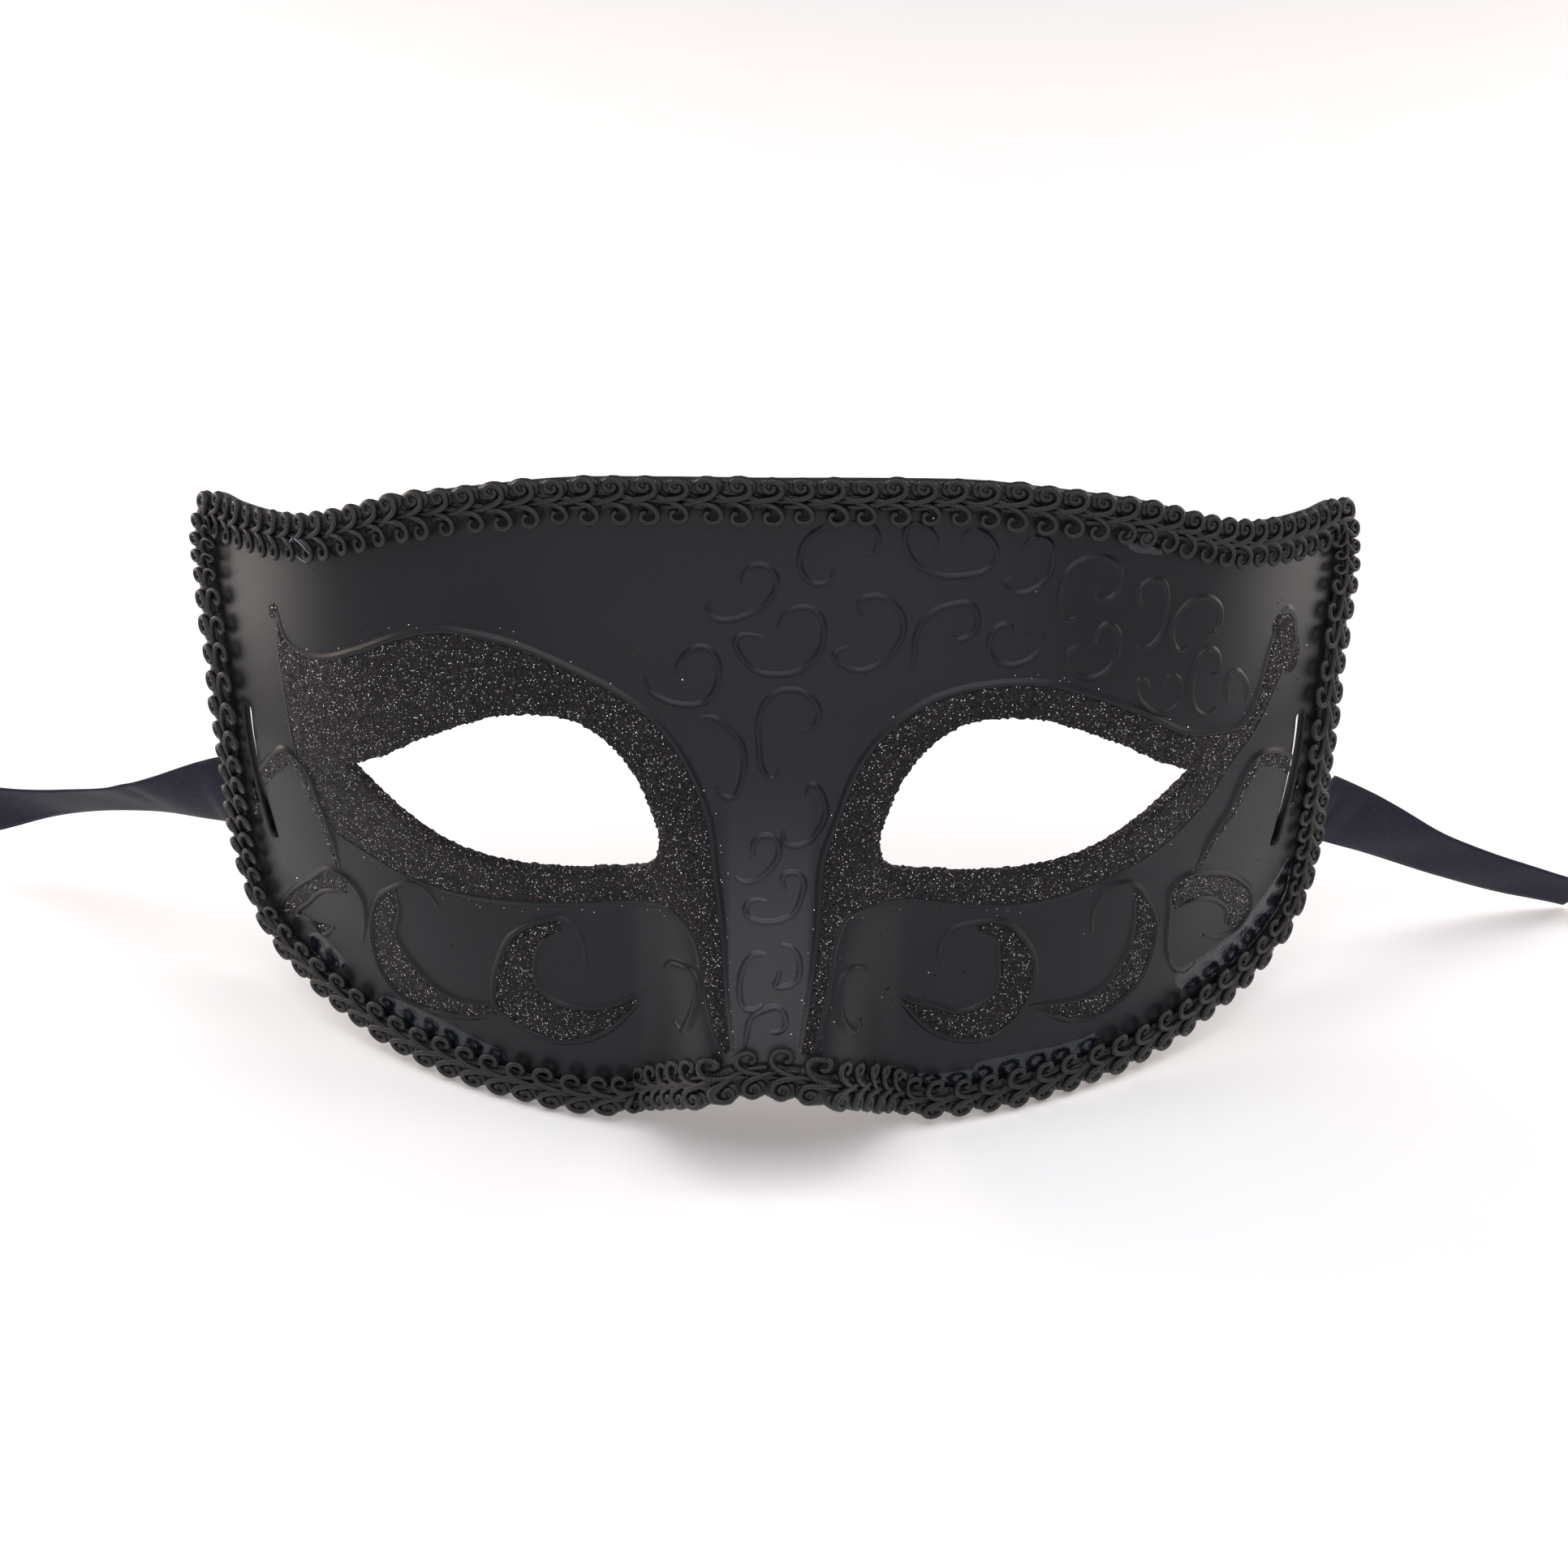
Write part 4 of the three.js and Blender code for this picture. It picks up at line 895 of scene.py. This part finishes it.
def cord_tube(points, wide, tall, sides=8, step=0.46):
    """Closed oval tube along a 3-D line, with the length and the way round as UV, in millimetres."""
    line = curve_through(points, step=step)
    ahead = np.gradient(line, axis=0)
    ahead /= np.linalg.norm(ahead, axis=1, keepdims=True)
    side = np.cross(ahead, [0, 0, 1])
    side /= np.linalg.norm(side, axis=1, keepdims=True)
    up = np.cross(side, ahead)
    angle = np.linspace(0, 2 * math.pi, sides, endpoint=False)
    count = np.arange(len(line))
    swell = np.clip(0.55 + 0.5 * np.minimum(count, count[::-1]), 0, 1)[:, None, None]
    rings = (line[:, None] + side[:, None] * (np.cos(angle)[:, None] * wide * swell)
             + up[:, None] * (np.sin(angle)[:, None] * tall * swell))
    uv = np.stack(np.broadcast_arrays((count * step)[:, None], angle * wide), axis=-1)
    faces = grid_faces(len(line), sides, wrap=True)
    last = (len(line) - 1) * sides
    faces += [tuple(range(sides)), tuple(last + k for k in reversed(range(sides)))]
    return rings.reshape(-1, 3), faces, uv.reshape(-1, 2)


stitch_points, stitch_faces, stitch_uv, used = [], [], [], 0
for line, wide, tall in CORDS:
    tube = cord_tube(line, wide, tall)
    stitch_points.append(tube[0])
    stitch_faces += [tuple(i + used for i in f) for f in tube[1]]
    stitch_uv.append(tube[2])
    used += len(tube[0])
braid = make_piece("gimp_braid", np.vstack(stitch_points), stitch_faces, CORD, uv=np.vstack(stitch_uv))


# %% Repeat the stitch
def braid_tree():
    tree, given = new_tree("gimp_stitches", [("Stitches", INTEGER), ("Pitch", FLOAT), ("Unevenness", FLOAT),
                                             ("Seed", INTEGER)])
    step = add(tree, "ShaderNodeCombineXYZ", inputs={"X": given["Pitch"]})
    line = add(tree, "GeometryNodeMeshLine", inputs={"Count": given["Stitches"], "Offset": step.outputs[0]})
    least = add(tree, "ShaderNodeVectorMath", {"operation": "SCALE"}, {
        0: (-0.04, -0.04, -0.12), "Scale": given["Unevenness"]})
    most = add(tree, "ShaderNodeVectorMath", {"operation": "SCALE"}, {
        0: (0.04, 0.04, 0.12), "Scale": given["Unevenness"]})
    turn = add(tree, "FunctionNodeRandomValue", {"data_type": "FLOAT_VECTOR"}, {
        "Min": least.outputs[0], "Max": most.outputs[0], "Seed": given["Seed"]})
    size = add(tree, "FunctionNodeRandomValue", {"data_type": "FLOAT"}, {
        2: 0.94, 3: 1.02, "Seed": given["Seed"]})
    rows = add(tree, "GeometryNodeInstanceOnPoints", inputs={
        "Points": line.outputs["Mesh"], "Instance": given["Geometry"], "Rotation": turn.outputs["Value"],
        "Scale": size.outputs[1]})
    real = add(tree, "GeometryNodeRealizeInstances", inputs={"Geometry": rows.outputs["Instances"]})
    done = add(tree, "GeometryNodeSetMaterial", inputs={
        "Geometry": real.outputs["Geometry"], "Material": CORD})
    add(tree, "NodeGroupOutput", inputs={"Geometry": done.outputs["Geometry"]})
    return tree


# %% The rim on the face: real lengths, and one real millimetre outwards as a step on the chart
PROBE = 0.05
across, upward = ((face_form(np.column_stack([rim + d, 0 * rim[:, 0]]))
                   - face_form(np.column_stack([rim - d, 0 * rim[:, 0]]))) / (2 * PROBE * MM)
                  for d in ([PROBE, 0], [0, PROBE]))
rim_place = face_form(np.column_stack([rim, 0 * rim[:, 0]])) / MM
rim_ahead = np.roll(rim_place, -1, 0) - np.roll(rim_place, 1, 0)
outward = np.cross(rim_ahead, np.cross(across, upward))
outward /= np.linalg.norm(outward, axis=1, keepdims=True)
ss, sz, zz = ((u * v).sum(1) for u, v in ((across, across), (across, upward), (upward, upward)))
to_s, to_z = (outward * across).sum(1), (outward * upward).sum(1)
out_step = np.stack([zz * to_s - sz * to_z, ss * to_z - sz * to_s], axis=1) / (ss * zz - sz**2)[:, None]
out_step *= np.sign((out_step * rim_aside).sum())
rim_steps = np.linalg.norm(np.diff(rim_place, axis=0, append=rim_place[:1]), axis=1)
rim_run = np.concatenate([[0], np.cumsum(rim_steps)])

# %% Bend the straight braid round the rim
PITCHES = [(0, 4.35), (40, 4.1), (60, 3.4), (80, 2.8), (92, 2.5), (100, 2.4), (106, 4.0), (125, 4.3),
           (165, 4.4),
           (205, 4.4), (rim_run[-1] / 2, 4.4)]     # distance from the top middle, pitch there
from_top = np.minimum(rim_run, rim_run[-1] - rim_run)
pitch_here = np.interp(from_top[1:], *np.array(PITCHES).T)
stitch_count = np.concatenate([[0], np.cumsum(np.diff(rim_run) / pitch_here)])
stitches = round(stitch_count[-1])
stitch_count *= stitches / stitch_count[-1]
run_tree(braid, braid_tree(), {"Stitches": stitches, "Pitch": PITCH, "Unevenness": 1.0, "Seed": 4})
print(f"{stitches} stitches on {rim_run[-1]:.0f} mm")


def bend_to_rim(piece):
    flat = np.empty(len(piece.data.vertices) * 3)
    piece.data.vertices.foreach_get("co", flat)
    along, out, rise = flat.reshape(-1, 3).T
    steps = np.arange(len(rim) + 1)
    place = np.interp((along / PITCH) % stitches, stitch_count, steps)
    s, z, out_s, out_z = (np.interp(place, steps, row[steps % len(rim)]) for row in (*rim.T, *out_step.T))
    on_side = np.clip(np.abs(out_s), 0, 1) ** 3
    out = out * (1 - 0.15 * on_side) - 0.3 * on_side       # narrower where it turns round the sides
    chart = np.stack([s + out * out_s, z + out * out_z, rise + CLEARANCE - 0.1], axis=1)
    piece.data.vertices.foreach_set("co", face_form(chart).ravel())
    piece.data.update()


bend_to_rim(braid)
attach(braid, "root")
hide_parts("edge_braid")

# %% [markdown]
# ### Glue and a loose thread
# Hot-melt glue holds the braid. A little of it has squeezed out along the inner edge as thin glossy smears,
# which look dark blue on the black plastic. One fine thread has come loose near the left corner.

# %% Glue smears, in pixels of the photograph
GLUE_SEEN = [
    [(1385, 652), (1400, 650), (1420, 656), (1434, 668), (1432, 682), (1412, 684), (1392, 676)],
    [(378, 1152), (392, 1150), (410, 1166), (424, 1184), (420, 1194), (400, 1184), (384, 1168)],
    [(1082, 1314), (1100, 1312), (1118, 1322), (1116, 1342), (1096, 1344), (1084, 1332)],
    [(1122, 1326), (1160, 1322), (1200, 1318), (1204, 1332), (1160, 1338), (1126, 1340)],
    [(1202, 1313), (1252, 1297), (1297, 1290), (1333, 1278), (1349, 1275), (1349, 1290), (1315, 1310),
     (1261, 1323), (1207, 1333)],
    [(1450, 1198), (1486, 1176), (1522, 1144), (1553, 1109), (1575, 1077), (1587, 1056), (1591, 1062),
     (1583, 1102), (1560, 1140), (1531, 1174), (1490, 1205), (1454, 1218)],
    [(470, 1228), (520, 1246), (580, 1276), (620, 1300), (612, 1314), (560, 1290), (500, 1262),
     (466, 1244)],
]
GLUE_SMEARS = [on_chart(smear) for smear in GLUE_SEEN]


def melted_glue():
    """Clear hot-melt glue over black: a smooth wet-looking skin with small ripples."""
    material, tree, shader = new_material("hot_melt_glue")
    place = add(tree, "ShaderNodeTexCoord").outputs["Object"]
    ripple = add(tree, "ShaderNodeTexNoise", inputs={"Vector": place, "Scale": 1 / (1.4 * MM), "Detail": 2})
    bump = add(tree, "ShaderNodeBump", inputs={
        "Strength": 0.7, "Distance": 0.25 * MM, "Height": ripple.outputs["Fac"]})
    tint = ramp(tree, [(0.4, colour("#0a0c12")), (0.62, colour("#131a25"))], ripple.outputs["Fac"])
    tree.links.new(tint, shader.inputs["Base Color"])
    tree.links.new(bump.outputs["Normal"], shader.inputs["Normal"])
    shader.inputs["Roughness"].default_value = 0.22
    return material


glue_points, glue_faces, used = [], [], 0
for smear in GLUE_SMEARS:
    edge = offset_loop(curve_through(smear, closed=True), 0.15)
    flat, triangles = fill_sheet(edge, [], 0.6)
    glue_points.append(np.column_stack([flat, np.where(np.arange(len(flat)) < len(edge), -0.03, 0.1)]))
    glue_faces += [tuple(f + used) for f in triangles]
    used += len(flat)
glue = make_piece("glue_smears", face_form(np.vstack(glue_points)), glue_faces, melted_glue())
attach(glue, "root")

# %% Loose thread
THREAD_SEEN = [(372, 660), (366, 671), (370, 684), (380, 692), (388, 688), (386, 674), (376, 661)]   # pixels
THREAD_RISE = [2.0, 1.6, 0.8, 0.5, 0.9, 1.7, 2.1]                         # in front of the face, in mm
THREAD = np.column_stack([on_chart(THREAD_SEEN), THREAD_RISE])
cotton, tree, shader = new_material("pale_cotton_thread")
shader.inputs["Base Color"].default_value = colour("#8f9db0")
shader.inputs["Roughness"].default_value = 0.8
thread_points, thread_faces, _ = cord_tube(THREAD, 0.07, 0.07, sides=6, step=0.3)
thread = make_piece("loose_thread", face_form(thread_points), thread_faces, cotton)
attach(thread, "root")

# %% [markdown]
# ## Satin ribbons
# Each tie is a 10 mm polyester satin ribbon. It starts behind the slit, passes behind the edge and runs out
# to the side in a lazy twist, with a few soft creases where it was folded in its packet. Each is made as one
# thin sheet along a smooth path, whose width turns about the path as the real one does.

# %% Satin material
def satin_weave():
    """Polyester satin: long floating threads along the ribbon give a silky shine, and fine ribs across it."""
    material, tree, shader = new_material("polyester_satin")
    uv = add(tree, "ShaderNodeUVMap", {"uv_map": "UVMap"}).outputs["UV"]
    ribs = add(tree, "ShaderNodeTexWave", {"bands_direction": "Y"}, {
        "Vector": uv, "Scale": 1 / 0.35 / 3.2, "Distortion": 0.4, "Detail": 1})
    floats = add(tree, "ShaderNodeTexNoise", inputs={
        "Vector": add(tree, "ShaderNodeMapping", inputs={
            "Vector": uv, "Scale": (6, 0.5, 1)}).outputs["Vector"],
        "Scale": 1, "Detail": 2})
    base = ramp(tree, [(0.25, colour("#1f1f29")), (0.75, colour("#2f2f3b"))], floats.outputs["Fac"])
    height = add(tree, "ShaderNodeMath", {"operation": "ADD"}, {
        0: ribs.outputs["Fac"], 1: floats.outputs["Fac"]})
    bump = add(tree, "ShaderNodeBump", inputs={
        "Strength": 0.35, "Distance": 0.03 * MM, "Height": height.outputs[0]})
    tree.links.new(base, shader.inputs["Base Color"])
    tree.links.new(bump.outputs["Normal"], shader.inputs["Normal"])
    shader.inputs["Roughness"].default_value = 0.46
    shader.inputs["Specular IOR Level"].default_value = 0.04
    shader.inputs["Sheen Weight"].default_value = 0.02
    shader.inputs["Sheen Roughness"].default_value = 0.35
    return material


SATIN = satin_weave()

# %% Ribbon routes, as in the CAD model
RIBBON_WIDTH, RIBBON_SHEET = 10.0, 0.22
RIBBON_START = SLIT_PLACE - 4.6
RIBBON_LEAVES = SIDE_RIM + BRAID_WIDTH / 2 + 5.8
RIBBONS = {
    "left": dict(side=-1, height=32.6, reach=44.0, turn=[-5, 27, 47, 50, 42, 20], route=[
        (0, 0, 0), (0.2, 0.19, -0.125), (0.4, 0.36, -0.225), (0.6, 0.5, -0.3), (0.8, 0.6, -0.365),
        (1, 0.68, -0.43)]),
    "right": dict(side=1, height=30.9, reach=44.03, turn=[0, 22, 38, 41, 41, 44], route=[
        (0, 0, 0), (0.2, 0.17, -0.165), (0.4, 0.31, -0.325), (0.6, 0.42, -0.45), (0.8, 0.5, -0.55),
        (1, 0.55, -0.625)]),
}


def ribbon_path(side, height, reach, turn, route):
    """Middle points and width directions along a ribbon, in metres."""
    behind = -(WALL + 0.7)
    s = side * np.linspace(RIBBON_START, RIBBON_LEAVES, 20)
    low, high = (face_form(np.column_stack([s, np.full(20, height + e), np.full(20, behind)]))
                 for e in (-RIBBON_WIDTH / 2, RIBBON_WIDTH / 2))
    points = [(low + high)[:-1] / 2]
    across = [(high - low)[:-1] / np.linalg.norm(high - low, axis=1)[:-1, None]]
    start = (low[-1] + high[-1]) / 2
    free = curve_through(start / MM + np.array(route) * [side, 1, 1] * reach, step=0.5) * MM
    ahead = np.gradient(free, axis=0)
    ahead /= np.linalg.norm(ahead, axis=1, keepdims=True)
    upright = np.array([0, 0, 1]) - ahead * ahead[:, 2:]
    upright /= np.linalg.norm(upright, axis=1, keepdims=True)
    angle = np.radians(row_value(turn, np.linspace(0, len(turn) - 1, len(free)))) * side
    turned = upright * np.cos(angle)[:, None] + np.cross(ahead, upright) * np.sin(angle)[:, None]
    return np.vstack(points + [free]), np.vstack(across + [turned])


CREASES = {     # run along the ribbon and place across it, depth, half width
    "satin_ribbon_left": [(19.5, 0.1, 0.5, 1.6), (24, -0.2, -0.3, 1.8), (41, 0.2, 0.3, 2.2)],
    "satin_ribbon_right": [(20.5, -0.25, -0.45, 0.9), (22.6, -0.3, 0.4, 0.8), (28, 0.1, 0.25, 1.8)],
}


def ribbon_piece(name, row):
    middle, across = ribbon_path(**row)
    ahead = np.gradient(middle, axis=0)
    ahead /= np.linalg.norm(ahead, axis=1, keepdims=True)
    facing = np.cross(across, ahead) * row["side"]
    columns = np.linspace(-0.5, 0.5, 13)
    run = np.concatenate([[0], np.cumsum(np.linalg.norm(np.diff(middle, axis=0), axis=1))]) / MM
    wave = 0.25 * np.sin(run / 3.7 + 1.3)[:, None] * np.cos(columns * 3) * smooth((run - 14) / 6)[:, None]
    for along, across_at, depth, wide in CREASES[name]:
        wave = wave + depth * np.exp(-(((run - along)[:, None] - 2 * columns) / wide) ** 2
                                     - ((columns - across_at) / 0.35) ** 2)
    front = (middle[:, None] + across[:, None] * (columns * RIBBON_WIDTH * MM)[:, None]
             + facing[:, None] * (wave * MM)[..., None])
    back = front - facing[:, None] * RIBBON_SHEET * MM
    ring = np.concatenate([front, back[:, ::-1]], axis=1)
    rows, size = ring.shape[:2]
    faces = grid_faces(rows, size, wrap=True)
    if row["side"] > 0:
        faces = [f[::-1] for f in faces]
    ends = [tuple(range(size)), tuple((rows - 1) * size + k for k in reversed(range(size)))]
    faces += [f if row["side"] < 0 else f[::-1] for f in ends]
    width = np.concatenate([columns, columns[::-1]]) * RIBBON_WIDTH
    uv = np.stack(np.broadcast_arrays(width[None, :], run[:, None]), axis=-1)
    piece = make_piece(name, ring.reshape(-1, 3), faces, SATIN, uv=uv.reshape(-1, 2))
    print(f"{name}: {run[-1]:.1f} mm long")
    return piece, run[-1] * MM


for name, row in RIBBONS.items():
    tie, length = ribbon_piece(f"satin_ribbon_{name}", row)
    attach(tie, "root")
    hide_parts(f"ribbon_{name}")

# %% [markdown]
# ## Floor, light and camera
# The mask stands on a white sweep under soft studio light: a large soft box above and in front, a wide low one
# further in front, and a warm low one behind each side, which gives the temples their grey shine. The camera
# is the photograph's own, from above, and looks down on the mask by 27 degrees.

# %% Floor
def floor_piece():
    material, tree, shader = new_material("white_paper_sweep")
    place = add(tree, "ShaderNodeTexCoord").outputs["Object"]
    fibre = add(tree, "ShaderNodeTexNoise", inputs={"Vector": place, "Scale": 40, "Detail": 3})
    tree.links.new(ramp(tree, [(0, colour("#f6f6f8")), (1, colour("#fafafc"))], fibre.outputs["Fac"]),
                   shader.inputs["Base Color"])
    shader.inputs["Roughness"].default_value = 0.9
    shader.inputs["Specular IOR Level"].default_value = 0.1
    size = 3.0
    corners = [(-size, -size, 0), (size, -size, 0), (size, size, 0), (-size, size, 0)]
    return make_piece("floor", corners, [(0, 1, 2, 3)], material, smooth_faces=False)


floor_piece()


# %% Lights
def soft_box(name, place, target, size, power, shade):
    light = bpy.data.lights.new(name, "AREA")
    light.shape, light.size, light.size_y = "RECTANGLE", *size
    light.energy, light.color = power, colour(shade)[:3]
    lamp = bpy.data.objects.new(name, light)
    lamp.location = place
    lamp.rotation_euler = (Vector(target) - Vector(place)).to_track_quat("-Z", "Y").to_euler()
    bpy.context.scene.collection.objects.link(lamp)


soft_box("top_box", (0, -0.45, 1.0), (0, 0, 0.03), (1.4, 1.0), 10.6, "#ffffff")
soft_box("left_box", (-0.55, 0.32, 0.17), (-0.1, 0.03, 0.05), (0.5, 0.3), 3.4, "#ffeadb")
soft_box("right_box", (0.55, 0.32, 0.17), (0.1, 0.03, 0.05), (0.5, 0.3), 2.0, "#ffeadb")
soft_box("front_box", (0, -1.5, 0.3), (0, 0, 0.05), (1.4, 0.5), 3, "#ffffff")

world = bpy.data.worlds.new("studio")
world.use_nodes = True
background = world.node_tree.nodes["Background"]
background.inputs["Color"].default_value = colour("#f2f3f8")
background.inputs["Strength"].default_value = 0.41
bpy.context.scene.world = world
bpy.context.scene.view_settings.view_transform = "Standard"

# %% Camera
lens = bpy.data.cameras.new("camera")
lens.lens, lens.sensor_width = LENS, SENSOR
lens.shift_x, lens.shift_y = SHIFT_X / IMAGE, SHIFT_Y / IMAGE
camera = bpy.data.objects.new("camera", lens)
camera.location = CAMERA_PLACE
camera.rotation_euler = Vector(-CAMERA_BACK).to_track_quat("-Z", "Y").to_euler()
bpy.context.scene.collection.objects.link(camera)
bpy.context.scene.camera = camera
